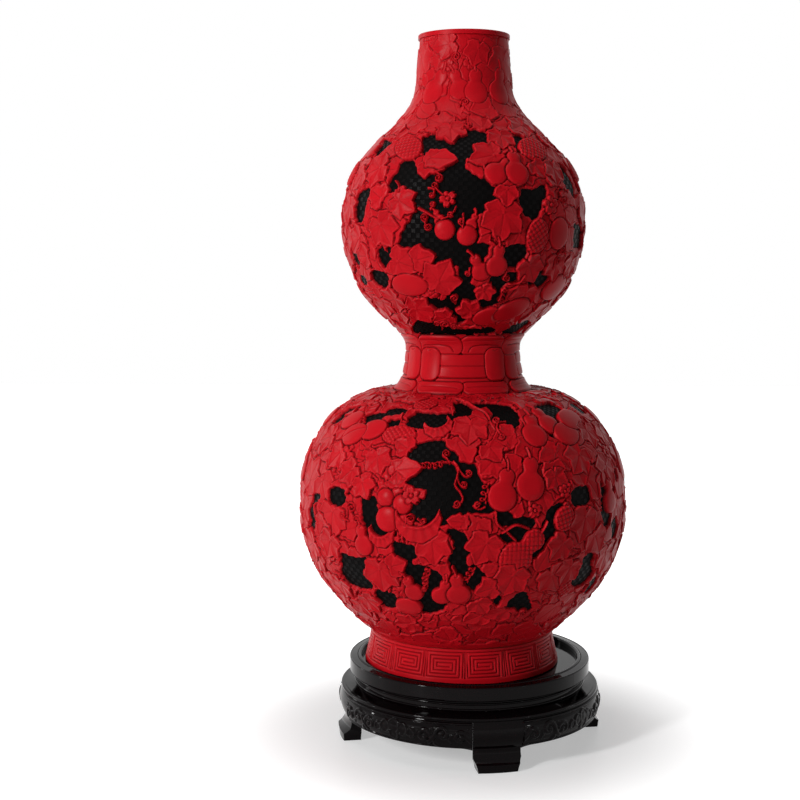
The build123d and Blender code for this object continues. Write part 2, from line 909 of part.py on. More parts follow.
def arch(azimuth, width):
    """Cut that lifts the apron's lower edge between its two dropped ends."""
    half = math.radians(width / 2) * apron_radius
    low = apron_end_height - overrun
    rise = apron_low_height - apron_end_height
    outline = [
        Polyline((-half, apron_end_height), (-half, low), (half, low), (half, apron_end_height)),
        Spline(
            (half, apron_end_height),
            (half - apron_arch_run / 2, apron_end_height + rise * apron_arch_share),
            (half - apron_arch_run, apron_low_height),
        ),
        Line((half - apron_arch_run, apron_low_height), (apron_arch_run - half, apron_low_height)),
        Spline(
            (apron_arch_run - half, apron_low_height),
            (apron_arch_run / 2 - half, apron_end_height + rise * apron_arch_share),
            (-half, apron_end_height),
        ),
    ]
    cut = extrude(Plane.XZ * make_face(outline), apron_radius + overrun)
    return front_at(azimuth) * cut


def make_aprons():
    """Four carved boards between the feet, and the blocks glued behind them."""
    pitch = 360 / foot_count
    width = pitch - foot_angle() - gap_angle(apron_radius)
    middles = [stand_turn + (number + 0.5) * pitch for number in range(foot_count)]
    for number, middle in enumerate(middles):
        apron = sector(apron_outline(), middle, width) - arch(middle, width)
        export(apron, "apron_" + str(number + 1))
    make_glue_blocks(middles, width)


block_size = 7.0
block_angle = 8.0
block_inset = 9.0


def make_glue_blocks(middles, width):
    """Three-cornered blocks between the aprons and the waist moulding."""
    outer = apron_top_radius - apron_wall - glue_gap
    high = apron_top_height
    outline = Polyline(
        (outer - block_size, high), (outer, high), (outer, high - block_size), close=True
    )
    blocks = []
    for middle in middles:
        for side in (-1, 1):
            azimuth = middle + side * (width / 2 - block_inset)
            blocks.append(sector(outline, azimuth, block_angle))
    export(Compound(blocks), "glue_blocks")


def foot_section():
    """Radial section of a foot: the apron's bulge above, the toe below."""
    face = apron_face()
    toe_top = (toe_radius, toe_height)
    return [
        Spline(*face),
        Spline(
            face[-1],
            (apron_low_radius, foot_hollow_height),
            toe_top,
        ),
        Polyline(
            toe_top,
            (toe_floor_radius, 0),
            (foot_inner_radius, 0),
            (foot_inner_radius, foot_head_height),
            (foot_head_radius, foot_head_height + foot_head_slope),
            (foot_head_radius, apron_top_height),
            face[0],
        ),
    ]


def tenon(azimuth, clearance):
    """Tenon on top of a foot, or the mortise for it."""
    circle = (foot_inner_radius + foot_head_radius) / 2
    block = Pos(0, -circle, apron_top_height - clearance) * Box(
        tenon_width + 2 * clearance,
        tenon_thickness + 2 * clearance,
        tenon_length + glue_gap + 2 * clearance,
        align=(Align.CENTER, Align.CENTER, Align.MIN),
    )
    return front_at(azimuth) * block


def foot_blank():
    """Front view of a foot, through its whole depth: square above, drawn in to the floor."""
    outline = [
        Polyline(
            (foot_floor_half_width, 0),
            (-foot_floor_half_width, 0),
        ),
        Spline(
            (-foot_floor_half_width, 0),
            (-(foot_floor_half_width * 2 + foot_half_width) / 3, foot_narrow_height / 2),
            (-foot_half_width, foot_narrow_height),
        ),
        Polyline(
            (-foot_half_width, foot_narrow_height),
            (-foot_half_width, apron_top_height),
            (foot_half_width, apron_top_height),
            (foot_half_width, foot_narrow_height),
        ),
        Spline(
            (foot_half_width, foot_narrow_height),
            ((foot_floor_half_width * 2 + foot_half_width) / 3, foot_narrow_height / 2),
            (foot_floor_half_width, 0),
        ),
    ]
    return extrude(Plane.XZ * make_face(outline), toe_radius + overrun)


def make_feet():
    """Four feet, each tenoned up into the waist moulding."""
    pitch = 360 / foot_count
    width = foot_angle() - gap_angle(apron_radius)
    for number in range(foot_count):
        azimuth = stand_turn + number * pitch
        turned = sector(foot_section(), azimuth, width)
        foot = turned & (front_at(azimuth) * foot_blank())
        foot = foot + tenon(azimuth, 0)
        export(foot, "stand_foot_" + str(number + 1))


def make_waist_moulding():
    """Four arcs with joints between those of the tray frame, holes for dowels and mortises."""
    pitch = 360 / joints_in_a_ring
    cuts = [dowel(azimuth, glue_gap) for azimuth in dowel_azimuths()]
    cuts += [tenon(stand_turn + number * 360 / foot_count, glue_gap) for number in range(foot_count)]
    for number, middle in enumerate(arc_azimuths(0.5)):
        arc = sector(waist_outline(), middle, pitch - gap_angle(tray_radius))
        for cut in cuts:
            arc = arc - cut
        export(arc, "waist_moulding_arc_" + str(number + 1))


make_carved_coats()
make_ground_coats()
make_metal_globes()
make_waist_sleeve()
make_foot_hoop()
make_base()
make_linings()
make_mouth()
make_pad()
make_tray_frame()
make_tray_panel()
make_waist_moulding()
make_aprons()
make_feet()
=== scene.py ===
import math

import bpy
import numpy as np
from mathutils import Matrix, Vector


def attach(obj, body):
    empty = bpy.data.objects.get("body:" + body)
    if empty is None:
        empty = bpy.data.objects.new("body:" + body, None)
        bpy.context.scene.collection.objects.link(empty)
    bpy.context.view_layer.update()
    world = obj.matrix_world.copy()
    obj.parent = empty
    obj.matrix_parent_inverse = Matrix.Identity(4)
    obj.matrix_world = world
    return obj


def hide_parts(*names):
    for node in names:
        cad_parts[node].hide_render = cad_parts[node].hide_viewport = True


bl_info = {
    "name": "Double gourd vase on a carved stand",
    "version": (1, 0, 0),
    "blender": (4, 5, 0),
    "location": "View3D > Sidebar > Gourd vase",
    "description": "Carved red lacquer, black diaper ground and a glossy carved wooden stand",
    "category": "Object",
}

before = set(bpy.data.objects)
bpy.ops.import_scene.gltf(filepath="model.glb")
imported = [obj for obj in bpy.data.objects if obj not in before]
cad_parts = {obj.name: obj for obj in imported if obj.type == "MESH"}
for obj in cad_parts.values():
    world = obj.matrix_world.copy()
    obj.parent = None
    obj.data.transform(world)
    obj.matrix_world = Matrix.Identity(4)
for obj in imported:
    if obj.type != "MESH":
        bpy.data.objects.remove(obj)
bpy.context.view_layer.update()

MM = 0.001

# Outline of the vase on its carved outer face, in millimetres
FOOT_LEVEL, FOOT_RADIUS = 59.0, 77.1
FOOT_TOP_LEVEL, FOOT_TOP_RADIUS = 84.0, 72.6
BELLY_LEVEL, BELLY_RADIUS, BELLY_SWELL = 188.0, 129.6, 2.3
SHOULDER_LEVEL, SHOULDER_RADIUS = 276.5, 56.0
WAIST_LEVEL, WAIST_RADIUS = 308.0, 45.3
GLOBE_LEVEL, GLOBE_RADIUS = 407.0, 95.5
NECK_LEVEL, NECK_RADIUS = 508.0, 37.9
MOUTH_LEVEL, MOUTH_RADIUS = 543.3, 35.0
SASH_LOW_LEVEL, SASH_HIGH_LEVEL = 281.0, 318.0

# Handles of the outline's curves, in millimetres, and the foot's flare as a share of its spread
WAIST_HANDLE, GLOBE_LOW_HANDLE, GLOBE_HIGH_HANDLE, NECK_HANDLE = 18, 70, 58, 32
FOOT_HANDLE, FOOT_FLARE = 8, 0.32
CURVE_POINTS, FOOT_POINTS, MOUTH_POINTS = 200, 100, 60

# The stand lies a little to the right of the vase's axis, and is turned, in millimetres and degrees
STAND_X = 6.2
STAND_TURN = 12.0

# Relief of the carving, in millimetres above the black ground
SUNK = -0.4
LEAST = 0.5
SKIN = -0.65
OPENING_EDGE = 1.7
CREST = 3.3

# More than any distance on the vase, in millimetres
FAR = 1e9

# How far the openings reach past their corners, in millimetres
OPENING_GROWTH = 1.8

# Mirrored places: what the two azimuths add up to, in degrees, and a shift along the outline
BACK = (180, 1.5)
LEFT = (0, -3.0)


# Properties


class VaseSizes(bpy.types.PropertyGroup):
    """Sizes of the carving that a user may change."""

    depth: bpy.props.FloatProperty(
        name="Carving depth", description="Height of the red coat over the black ground, in millimetres",
        default=3.4, min=1.0, max=6.0,
    )
    fineness: bpy.props.FloatProperty(
        name="Fineness", description="Spacing of the carved surface's points, in millimetres",
        default=0.6, min=0.3, max=2.0,
    )
    tiles: bpy.props.IntProperty(
        name="Tiles round the ground",
        description="Diaper squares round the lower globe, a whole even number",
        default=216, min=40, max=400,
    )
    seed: bpy.props.IntProperty(
        name="Seed", description="Chooses where the small leaves between the main motifs fall", default=7,
    )


def plain_colour(name, description, default):
    """A colour property, given in sRGB hex."""
    return bpy.props.StringProperty(name=name, description=description, default=default)


class VaseColours(bpy.types.PropertyGroup):
    """Colours of the finishes, as sRGB hex values."""

    red: plain_colour("Red lacquer", "Cinnabar red on the carved faces", "#C0101C")
    # Painted shade: this darker red is painted into the cuts between the motifs, where shade falls
    cut_shade_red: plain_colour("Deep red", "The red in the cuts between the motifs", "#3E0407")
    bright_red: plain_colour("Polished red", "The red on ridges and domes, rubbed brighter", "#CC1823")
    black: plain_colour("Black lacquer", "The ground under the carving", "#070505")
    stand: plain_colour("Stand", "Stained hardwood under gloss lacquer", "#060304")


# Finishes


def linear(colour):
    """Linear colour of an sRGB hex value."""
    parts = [int(colour[k:k + 2], 16) / 255 for k in (1, 3, 5)]
    return [p / 12.92 if p <= 0.04045 else ((p + 0.055) / 1.055) ** 2.4 for p in parts] + [1.0]


def add(tree, kind, inputs=None, **settings):
    """Adds a node with its settings, and its inputs as values or as links."""
    node = tree.nodes.new("ShaderNode" + kind)
    for key, value in settings.items():
        setattr(node, key, value)
    for key, value in (inputs or {}).items():
        if isinstance(value, bpy.types.NodeSocket):
            tree.links.new(value, node.inputs[key])
        else:
            node.inputs[key].default_value = value
    return node


def finish(name):
    """A new material with a shader wired to its output."""
    material = bpy.data.materials.new(name)
    material.use_nodes = True
    tree = material.node_tree
    tree.nodes.clear()
    shader = add(tree, "BsdfPrincipled")
    add(tree, "OutputMaterial", {"Surface": shader.outputs[0]})
    return material, tree, shader


def ramp(tree, factor, low, high, start=0.0, end=1.0):
    """Colour or value between two, as a factor goes from start to end."""
    node = add(tree, "ValToRGB", {"Fac": factor})
    node.color_ramp.elements[0].position = start
    node.color_ramp.elements[0].color = low
    node.color_ramp.elements[1].position = end
    node.color_ramp.elements[1].color = high
    return node.outputs[0]


def grey(value):
    """A grey colour for a ramp that stands for a number."""
    return [value, value, value, 1.0]


def shade(colour, *shares):
    """A colour darkened or lightened, all channels by one share or each by its own."""
    shares = shares if len(shares) == 3 else shares * 3
    return [min(1.0, channel * share) for channel, share in zip(colour, shares)] + [1.0]


def object_place(tree):
    """Place on the object, in metres."""
    return add(tree, "TexCoord").outputs["Object"]


def surface(tree, shader, colour, roughness, height, strength, distance, specular=0.5):
    """Wires a finish: colour, roughness, and a fine relief with its depth in metres."""
    tree.links.new(colour, shader.inputs["Base Color"])
    tree.links.new(roughness, shader.inputs["Roughness"])
    bump = add(tree, "Bump", {"Height": height, "Strength": strength, "Distance": distance})
    tree.links.new(bump.outputs["Normal"], shader.inputs["Normal"])
    shader.inputs["Specular IOR Level"].default_value = specular


def cinnabar_lacquer():
    """Many thin coats of red lacquer, carved and rubbed: satin faces, cuts painted darker as shade, bright
    edges.
    """
    colours = bpy.context.scene.vase_colours
    material, tree, shader = finish("carved_cinnabar_lacquer")
    place = object_place(tree)
    # Uneven rubbing, patches of 25 mm
    noise = {"Vector": place, "Scale": 40.0, "Detail": 3.0, "Roughness": 0.55}
    patches = add(tree, "TexNoise", noise).outputs["Fac"]
    # Fine grain of the rubbed lacquer, drawn at 1.2 mm so that it shows
    grain = add(tree, "TexNoise", {"Vector": place, "Scale": 800.0, "Detail": 2.0, "Roughness": 0.6})
    # Painted shade: points that lie deep in the cuts are painted a darker red, and made rougher
    hollow_shade = add(tree, "Attribute", attribute_name="hollow_shade").outputs["Fac"]
    ridge = add(tree, "Attribute", attribute_name="ridge").outputs["Fac"]
    red = linear(colours.red)
    worn = ramp(tree, patches, shade(red, 0.90), shade(red, 1.08), 0.3, 0.7)
    edges = {"Factor": ridge, "A": worn, "B": linear(colours.bright_red)}
    edges = add(tree, "Mix", edges, data_type="RGBA").outputs["Result"]
    # The cuts get the darker red as painted shade
    cuts = {"Factor": hollow_shade, "A": edges, "B": linear(colours.cut_shade_red)}
    cuts = add(tree, "Mix", cuts, data_type="RGBA").outputs["Result"]
    rubbed = ramp(tree, patches, grey(0.30), grey(0.40), 0.3, 0.7)
    rough = add(tree, "Math", {0: hollow_shade, 1: 0.25, 2: rubbed}, operation="MULTIPLY_ADD").outputs[0]
    surface(tree, shader, cuts, rough, grain.outputs["Fac"], 0.12, 0.0004, 0.06)
    return material


def ground_lacquer(name, rough_low, rough_high, tint, angle):
    """Black lacquer cut with a fine hatch, one way on every other square: dull, with a faint sheen."""
    material, tree, shader = finish(name)
    place = object_place(tree)
    # Knife hatch, drawn at 0.8 mm so that it shows
    turn = {"Vector": place, "Angle": math.radians(angle)}
    lines = {"Vector": add(tree, "VectorRotate", turn, rotation_type="Y_AXIS").outputs[0], "Scale": 390.0}
    hatch = add(tree, "TexWave", {**lines, "Distortion": 0.4}, bands_direction="Z")
    patches = add(tree, "TexNoise", {"Vector": place, "Scale": 60.0, "Detail": 3.0}).outputs["Fac"]
    black = linear(bpy.context.scene.vase_colours.black)
    colour = ramp(tree, patches, shade(black, tint * 0.7), shade(black, tint * 1.3), 0.3, 0.7)
    rough = ramp(tree, patches, grey(rough_low), grey(rough_high), 0.3, 0.7)
    surface(tree, shader, colour, rough, hatch.outputs["Fac"], 0.35, 0.0002, 0.03)
    return material


def stand_lacquer():
    """Dark stained hardwood under thick gloss lacquer: near black, clear glints, a hint of grain."""
    material, tree, shader = finish("gloss_lacquered_hardwood")
    place = object_place(tree)
    stretched = add(tree, "Mapping", {"Vector": place, "Scale": (1.0, 1.0, 6.0)}).outputs[0]
    # Grain of 3 mm, and the lacquer's slight orange peel of 5 mm
    wood = {"Vector": stretched, "Scale": 330.0, "Detail": 4.0, "Distortion": 0.6}
    grain = add(tree, "TexNoise", wood).outputs["Fac"]
    peel = add(tree, "TexNoise", {"Vector": place, "Scale": 200.0, "Detail": 1.0}).outputs["Fac"]
    dark = linear(bpy.context.scene.vase_colours.stand)
    colour = ramp(tree, grain, shade(dark, 0.6), shade(dark, 2.4, 1.6, 1.6), 0.35, 0.7)
    rough = ramp(tree, peel, grey(0.04), grey(0.09), 0.3, 0.7)
    surface(tree, shader, colour, rough, peel, 0.05, 0.0005, 0.07)
    return material


def bare_hardwood():
    """Planed hardwood that is never seen from above: matt, brown, with long grain."""
    material, tree, shader = finish("planed_hardwood")
    stretched = add(tree, "Mapping", {"Vector": object_place(tree), "Scale": (0.15, 1.0, 1.0)}).outputs[0]
    wood = {"Vector": stretched, "Scale": 400.0, "Detail": 5.0, "Distortion": 0.8}
    grain = add(tree, "TexNoise", wood).outputs["Fac"]
    colour = ramp(tree, grain, linear("#3A2015"), linear("#6B4429"), 0.35, 0.65)
    surface(tree, shader, colour, ramp(tree, grain, grey(0.7), grey(0.5)), grain, 0.3, 0.0003)
    return material


def spun_copper():
    """Spun copper with faint turning lines of 0.8 mm and a brown patina."""
    material, tree, shader = finish("spun_copper")
    place = object_place(tree)
    turning = {"Vector": place, "Scale": 390.0, "Distortion": 0.3}
    lines = add(tree, "TexWave", turning, bands_direction="Z").outputs["Fac"]
    patina = add(tree, "TexNoise", {"Vector": place, "Scale": 90.0, "Detail": 4.0}).outputs["Fac"]
    colour = ramp(tree, patina, linear("#7A4B32"), linear("#B98260"), 0.35, 0.7)
    surface(tree, shader, colour, ramp(tree, patina, grey(0.5), grey(0.3)), lines, 0.15, 0.0002)
    shader.inputs["Metallic"].default_value = 1.0
    return material


def lining_lacquer():
    """Plain black lacquer, brushed on inside: satin, slightly uneven."""
    material, tree, shader = finish("brushed_black_lacquer")
    brushed = {"Vector": object_place(tree), "Scale": 150.0, "Detail": 3.0}
    strokes = add(tree, "TexNoise", brushed).outputs["Fac"]
    colour = ramp(tree, strokes, linear("#070606"), linear("#14100F"), 0.3, 0.7)
    rough = ramp(tree, strokes, grey(0.28), grey(0.42), 0.3, 0.7)
    surface(tree, shader, colour, rough, strokes, 0.2, 0.0003, 0.3)
    return material


def pressed_felt():
    """Black wool felt: matt, with short fibres of 1 mm."""
    material, tree, shader = finish("pressed_felt")
    wool = {"Vector": object_place(tree), "Scale": 1000.0, "Detail": 4.0, "Distortion": 1.5}
    fibre = add(tree, "TexNoise", wool).outputs["Fac"]
    colour = ramp(tree, fibre, linear("#0B0B0B"), linear("#232122"), 0.3, 0.7)
    surface(tree, shader, colour, ramp(tree, fibre, grey(0.85), grey(1.0)), fibre, 0.6, 0.0004)
    shader.inputs["Sheen Weight"].default_value = 0.3
    return material


FINISHES = {}


def material_of(key):
    """Each finish is made once."""
    makers = {
        "red": cinnabar_lacquer,
        "ground_plain": lambda: ground_lacquer("ground_lacquer_smooth", 0.25, 0.36, 1.5, 0),
        "ground_cut": lambda: ground_lacquer("ground_lacquer_hatched", 0.55, 0.7, 0.5, 90),
        "stand": stand_lacquer,
        "wood": bare_hardwood,
        "copper": spun_copper,
        "lining": lining_lacquer,
        "felt": pressed_felt,
    }
    if key not in FINISHES:
        FINISHES[key] = makers[key]()
    return FINISHES[key]


# Outline


def curve_points(start, first, second, end, count):
    """Points of a cubic curve with two handles, without its start."""
    t = np.linspace(0, 1, count + 1)[1:, None]
    a, b, c, d = (np.array(p, float) for p in (start, first, second, end))
    return (1 - t) ** 3 * a + 3 * (1 - t) ** 2 * t * b + 3 * (1 - t) * t * t * c + t ** 3 * d


def vase_outline():
    """Radius and level along the outer face, from the top of the foot to the mouth."""
    t = np.linspace(0, 1, CURVE_POINTS)
    belly = np.stack([
        FOOT_TOP_RADIUS + (BELLY_RADIUS - FOOT_TOP_RADIUS) * (1 - (1 - t) ** BELLY_SWELL),
        FOOT_TOP_LEVEL + t * (BELLY_LEVEL - FOOT_TOP_LEVEL),
    ], 1)
    a = np.linspace(0, math.pi / 2, CURVE_POINTS)[1:]
    shoulder = np.stack([
        SHOULDER_RADIUS + (BELLY_RADIUS - SHOULDER_RADIUS) * np.cos(a),
        BELLY_LEVEL + (SHOULDER_LEVEL - BELLY_LEVEL) * np.sin(a),
    ], 1)
    waist = np.stack([
        SHOULDER_RADIUS - (SHOULDER_RADIUS - WAIST_RADIUS) * np.sin(a),
        WAIST_LEVEL - (WAIST_LEVEL - SHOULDER_LEVEL) * np.cos(a),
    ], 1)
    widest = (GLOBE_RADIUS, GLOBE_LEVEL)
    globe = curve_points(
        (WAIST_RADIUS, WAIST_LEVEL), (WAIST_RADIUS, WAIST_LEVEL + WAIST_HANDLE),
        (GLOBE_RADIUS, GLOBE_LEVEL - GLOBE_LOW_HANDLE), widest, CURVE_POINTS,
    )
    taper = (NECK_RADIUS - MOUTH_RADIUS) / (MOUTH_LEVEL - NECK_LEVEL)
    neck = curve_points(
        widest, (GLOBE_RADIUS, GLOBE_LEVEL + GLOBE_HIGH_HANDLE),
        (NECK_RADIUS + taper * NECK_HANDLE, NECK_LEVEL - NECK_HANDLE),
        (NECK_RADIUS, NECK_LEVEL), CURVE_POINTS,
    )
    mouth = np.linspace((NECK_RADIUS, NECK_LEVEL), (MOUTH_RADIUS, MOUTH_LEVEL), MOUTH_POINTS)[1:]
    return np.concatenate([belly, shoulder, waist, globe, neck, mouth])


def foot_outline():
    """Radius and level along the foot band, from the tray up."""
    foot, top = (FOOT_RADIUS, FOOT_LEVEL), (FOOT_TOP_RADIUS, FOOT_TOP_LEVEL)
    flare = (FOOT_RADIUS - FOOT_TOP_RADIUS) * FOOT_FLARE
    first = (FOOT_RADIUS - flare, FOOT_LEVEL + FOOT_HANDLE)
    second = (FOOT_TOP_RADIUS, FOOT_TOP_LEVEL - FOOT_HANDLE)
    rest = curve_points(foot, first, second, top, FOOT_POINTS)
    return np.concatenate([[foot], rest])


class Outline:
    """A line of radius and level, walked by its length."""

    def __init__(self, points):
        self.points = np.asarray(points, float)
        self.length = np.concatenate([[0], np.cumsum(np.hypot(*np.diff(self.points, axis=0).T))])

    def at(self, along):
        """Radius, level and outward direction at lengths along the line."""
        # The direction is that of the line's chord over this distance to both sides
        step = 0.8
        (r, z), after, before = (self.place(along + shift) for shift in (0, step, -step))
        dr, dz = after[0] - before[0], after[1] - before[1]
        size = np.hypot(dr, dz)
        return r, z, dz / size, -dr / size

    def place(self, along):
        """Radius and level at lengths along the line."""
        return [np.interp(along, self.length, self.points[:, axis]) for axis in (0, 1)]

    def along(self, level):
        """Length at which the line first reaches a level."""
        return float(np.interp(level, self.points[:, 1], self.length))


# Relief


def turned(x, y, angle):
    """Places measured along and across a direction, which is given in radians."""
    return x * math.cos(angle) + y * math.sin(angle), y * math.cos(angle) - x * math.sin(angle)


class Relief:
    """Height of a carved band over its ground, unrolled: rows along the outline, columns round it.

    s, r and z are the rows' lengths along, radii and levels, angle the columns' azimuths in radians, and h
    the heights. A wall between two heights is as wide as wall, so that the points can follow it.
    """

    def __init__(self, outline, low, high, step, level, depth, shift=0.0):
        self.rows = int(round((high - low) / step)) + 1
        self.s = np.linspace(low, high, self.rows)
        self.r, self.z, self.out_r, self.out_z = outline.at(self.s)
        self.count = int(round(2 * math.pi * self.r.max() / step))
        self.pitch = 2 * math.pi / self.count
        self.angle = -math.pi + np.arange(self.count) * self.pitch
        self.step = step
        self.depth = depth
        self.wall = 1.3 * step
        self.shift = shift
        self.h = np.full((self.rows, self.count), float(level))

    def cells(self, azimuth, along, reach, turn=0.0):
        """Cells near a place, none where it is off the band, and their places from it, turned."""
        low = max(0, int((along - reach - self.s[0]) / self.step))
        high = min(self.rows, int((along + reach - self.s[0]) / self.step) + 2)
        if high - low < 2:
            nothing = np.zeros((0, 1))
            return np.ix_(range(0), range(1)), nothing, nothing
        middle = math.radians(azimuth)
        half = int(reach / (self.r[low:high].min() * self.pitch)) + 1
        half = min(half, self.count // 2 - 1)
        centre = int(round((middle + math.pi) / self.pitch))
        columns = np.arange(centre - half, centre + half + 1)
        angle = -math.pi + columns * self.pitch - middle
        x = self.r[low:high, None] * angle[None, :]
        y = (self.s[low:high] - along)[:, None] + np.zeros_like(x)
        return np.ix_(np.arange(low, high), columns % self.count), *turned(x, y, math.radians(turn))

    def unrolled(self, places):
        """Mean of some places, their distances from it on the unrolled band, and the greatest of them."""
        places = np.asarray(places, float)
        azimuth, along = places.mean(0)
        radius = np.interp(places[:, 1], self.s, self.r)
        local = np.stack([radius * np.radians(places[:, 0] - azimuth), places[:, 1] - along], 1)
        return azimuth, along, local, float(np.hypot(local[:, 0], local[:, 1]).max())

    def lay(self, cells, edge, top, groove=0.95, drop=1.0):
        """Lays a shape over what is there, with a cut round it.

        edge is the distance to the shape's outline, negative inside. groove and drop are the cut's
        width and depth.
        """
        h = self.h[cells]
        cut = np.clip(1 - edge / groove, 0, 1) ** 0.7
        under = np.where(h > LEAST, np.maximum(h - drop * cut, LEAST), h)
        wall = np.clip(0.5 - edge / self.wall, 0, 1)
        top = np.clip(top, LEAST, self.depth)
        self.h[cells] = under + (top - under) * wall

    def sink(self, cells, edge):
        """Cuts down to the ground inside an outline, and rounds the edge that is left."""
        h = self.h[cells]
        rim = np.clip(edge / 0.7, 0, 1)
        rounded = OPENING_EDGE + (self.depth - OPENING_EDGE) * np.sqrt(rim)
        h = np.where(h > 0, np.minimum(h, rounded), h)
        wall = np.clip(0.5 - edge / self.wall, 0, 1)
        self.h[cells] = h + (SUNK - h) * wall


def run_distance(x, y, start, end):
    """Distance to a straight run between two points."""
    (ax, ay), (bx, by) = start, end
    ex, ey = bx - ax, by - ay
    t = np.clip(((x - ax) * ex + (y - ay) * ey) / (ex * ex + ey * ey + 1e-9), 0, 1)
    return np.hypot(x - ax - t * ex, y - ay - t * ey)


def path_distance(x, y, path):
    """Distance to an open line of straight runs."""
    near = np.full(x.shape, FAR)
    for start, end in zip(path[:-1], path[1:]):
        near = np.minimum(near, run_distance(x, y, start, end))
    return near


def outline_distance(x, y, corners):
    """Distance to a closed outline, negative inside."""
    near = path_distance(x, y, np.concatenate([corners, corners[:1]]))
    inside = np.zeros(x.shape, bool)
    for (ax, ay), (bx, by) in zip(corners, np.roll(corners, -1, axis=0)):
        if ay != by:
            inside ^= ((ay > y) != (by > y)) & (x < (bx - ax) * (y - ay) / (by - ay) + ax)
    return np.where(inside, -near, near)


def line_distance(u, v, line):
    """Distance to the nearest of a line's points, and that point's share of the way along."""
    near = np.full(u.shape, FAR)
    share = np.zeros(u.shape)
    for number, (a, b) in enumerate(line):
        d = (u - a) ** 2 + (v - b) ** 2
        share = np.where(d < near, number / len(line), share)
        near = np.minimum(near, d)
    return np.sqrt(near), share


def softened(corners, share=0.13):
    """Cuts the corners of a closed outline once, by a share of each side."""
    following = np.roll(corners, -1, axis=0)
    near_start = corners * (1 - share) + following * share
    near_end = corners * share + following * (1 - share)
    return np.stack([near_start, near_end], 1).reshape(-1, 2)


def smooth_line(points, pitch):
    """Points at a steady pitch along a smooth line through the given ones."""
    p = np.asarray(points, float)
    p = np.concatenate([[2 * p[0] - p[1]], p, [2 * p[-1] - p[-2]]])
    out = []
    for k in range(1, len(p) - 2):
        a, b, c, d = p[k - 1:k + 3]
        count = max(2, int(np.hypot(*(c - b)) / pitch) + 1)
        t = np.linspace(0, 1, count, endpoint=False)[:, None]
        bend = (2 * a - 5 * b + 4 * c - d) * t * t + (3 * b - a - 3 * c + d) * t ** 3
        out.append(0.5 * (2 * b + (c - a) * t + bend))
    out.append(p[-2][None])
    return np.concatenate(out)


def open_ground(relief, corners, wobble):
    """Cuts one opening down to the black ground. Its corners are azimuths in degrees and lengths along."""
    azimuth, along, local, reach = relief.unrolled(corners)
    cells, x, y = relief.cells(azimuth, along, reach + 4)
    # A knife's slightly uneven line
    ripple = wobble * (np.sin(x * 1.05 + y * 0.35) + np.sin(y * 1.2 - x * 0.5 + 1.7)) * 0.5
    relief.sink(cells, outline_distance(x, y, softened(local)) + ripple - OPENING_GROWTH)


# Motifs

# Lobes of each kind of leaf: angle in degrees, length and half width as shares of the leaf's size
LEAVES = {
    "palm": ((0, 1.0, 0.43), (52, 0.90, 0.38), (-52, 0.88, 0.40), (106, 0.70, 0.34), (-104, 0.68, 0.33)),
    "trefoil": ((0, 1.0, 0.50), (60, 0.80, 0.42), (-64, 0.82, 0.40)),
    "blade": ((0, 1.0, 0.40), (40, 0.50, 0.28), (-34, 0.46, 0.30)),
    "plate": ((0, 1.0, 0.56), (34, 0.72, 0.44)),
}
LEAF_TEETH = 2.4
MIDRIB_DEPTHS, MIDRIB_WIDTH = (0.28, 0.1), 0.45
SIDE_RIB_DEPTH, SIDE_RIB_WIDTH, SIDE_RIB_PITCH = 0.06, 0.5, 3.0
NETTING_DEPTH = 0.9
PETALS = 5
STALK_WIDTH = 0.95
CURL_WIDTH = 0.58
SPRING_WIDTH, SPRING_CREST, SPRING_RADIUS, SPRING_PITCH = 0.42, 3.2, 2.0, 3.6


def rounding(edge, fall=0.35, width=0.7):
    """How far a shape falls away at its outline, within a width."""
    return fall * np.clip(1 + edge / width, 0, 1) ** 2


def netted(top, u, v, pitch):
    """A face with small bumps in a diagonal net."""
    bumps = np.abs(np.sin(math.pi * (u + v) / pitch) * np.sin(math.pi * (u - v) / pitch))
    return top - NETTING_DEPTH / 2 + NETTING_DEPTH * bumps ** 0.8


def lobe_shape(u, v, angle, length, width, phase):
    """Edge distance, places along and across, and half width of one lobe that points to an angle."""
    p, q = turned(u, v, math.radians(angle))
    t = np.clip(p / length, 0, 1)
    half = width * np.sin(math.pi * t ** 0.70) ** 0.8
    half = half * (1 + 0.08 * np.sin(2 * math.pi * LEAF_TEETH * t + phase) * (t > 0.15))
    body = (np.abs(q) - half) * 0.85
    edge = np.where((p > 0) & (p < length), body, np.hypot(p - length * t, q))
    return edge, p, q, half


def lobe_face(p, q, half, length, base, fold, number):
    """Height of a lobe: its sides curl up, every other one is tilted, and its ribs are cut in."""
    across = q / np.maximum(half, 0.3)
    side = np.clip(np.abs(across), 0, 1)
    face = base + fold * (side ** 1.8 - 0.4) + 0.22 * (number % 2) * across
    pitch = max(SIDE_RIB_PITCH, length * 0.26)
    ribs = ((p - np.abs(q) * 1.1) / pitch) % 1.0
    face = face - SIDE_RIB_DEPTH * np.exp(-((ribs - 0.5) * pitch / SIDE_RIB_WIDTH) ** 2) * (side < 0.8)
    fade = np.clip((length - p) / length * 2.5, 0, 1)
    return face - MIDRIB_DEPTHS[min(number, 1)] * np.exp(-(q / MIDRIB_WIDTH) ** 2) * fade


def leaf(relief, azimuth, along, size, turn, base, kind, fold=0.95, tilt=(0.0, 0.0), spread=1.0, phase=0.0):
    """A lobed leaf with its ribs. Its stalk end lies at the place, its main lobe points to turn."""
    cells, u, v = relief.cells(azimuth, along, size * 1.15 + 2, turn)
    edge = np.hypot(u, v) - size * 0.2
    top = np.full(u.shape, base - 0.1)
    for number, (angle, reach, width) in enumerate(LEAVES[kind]):
        length = size * reach
        d, p, q, half = lobe_shape(u, v, angle * spread, length, size * width, phase + number)
        top = np.where(d < edge, lobe_face(p, q, half, length, base, fold, number), top)
        edge = np.minimum(edge, d)
    top = top + tilt[0] * u / size + tilt[1] * v / size
    top = top + 0.18 * np.exp(-((edge + 1.1) / 0.6) ** 2)
    relief.lay(cells, edge, top - rounding(edge, 0.4, 0.6))


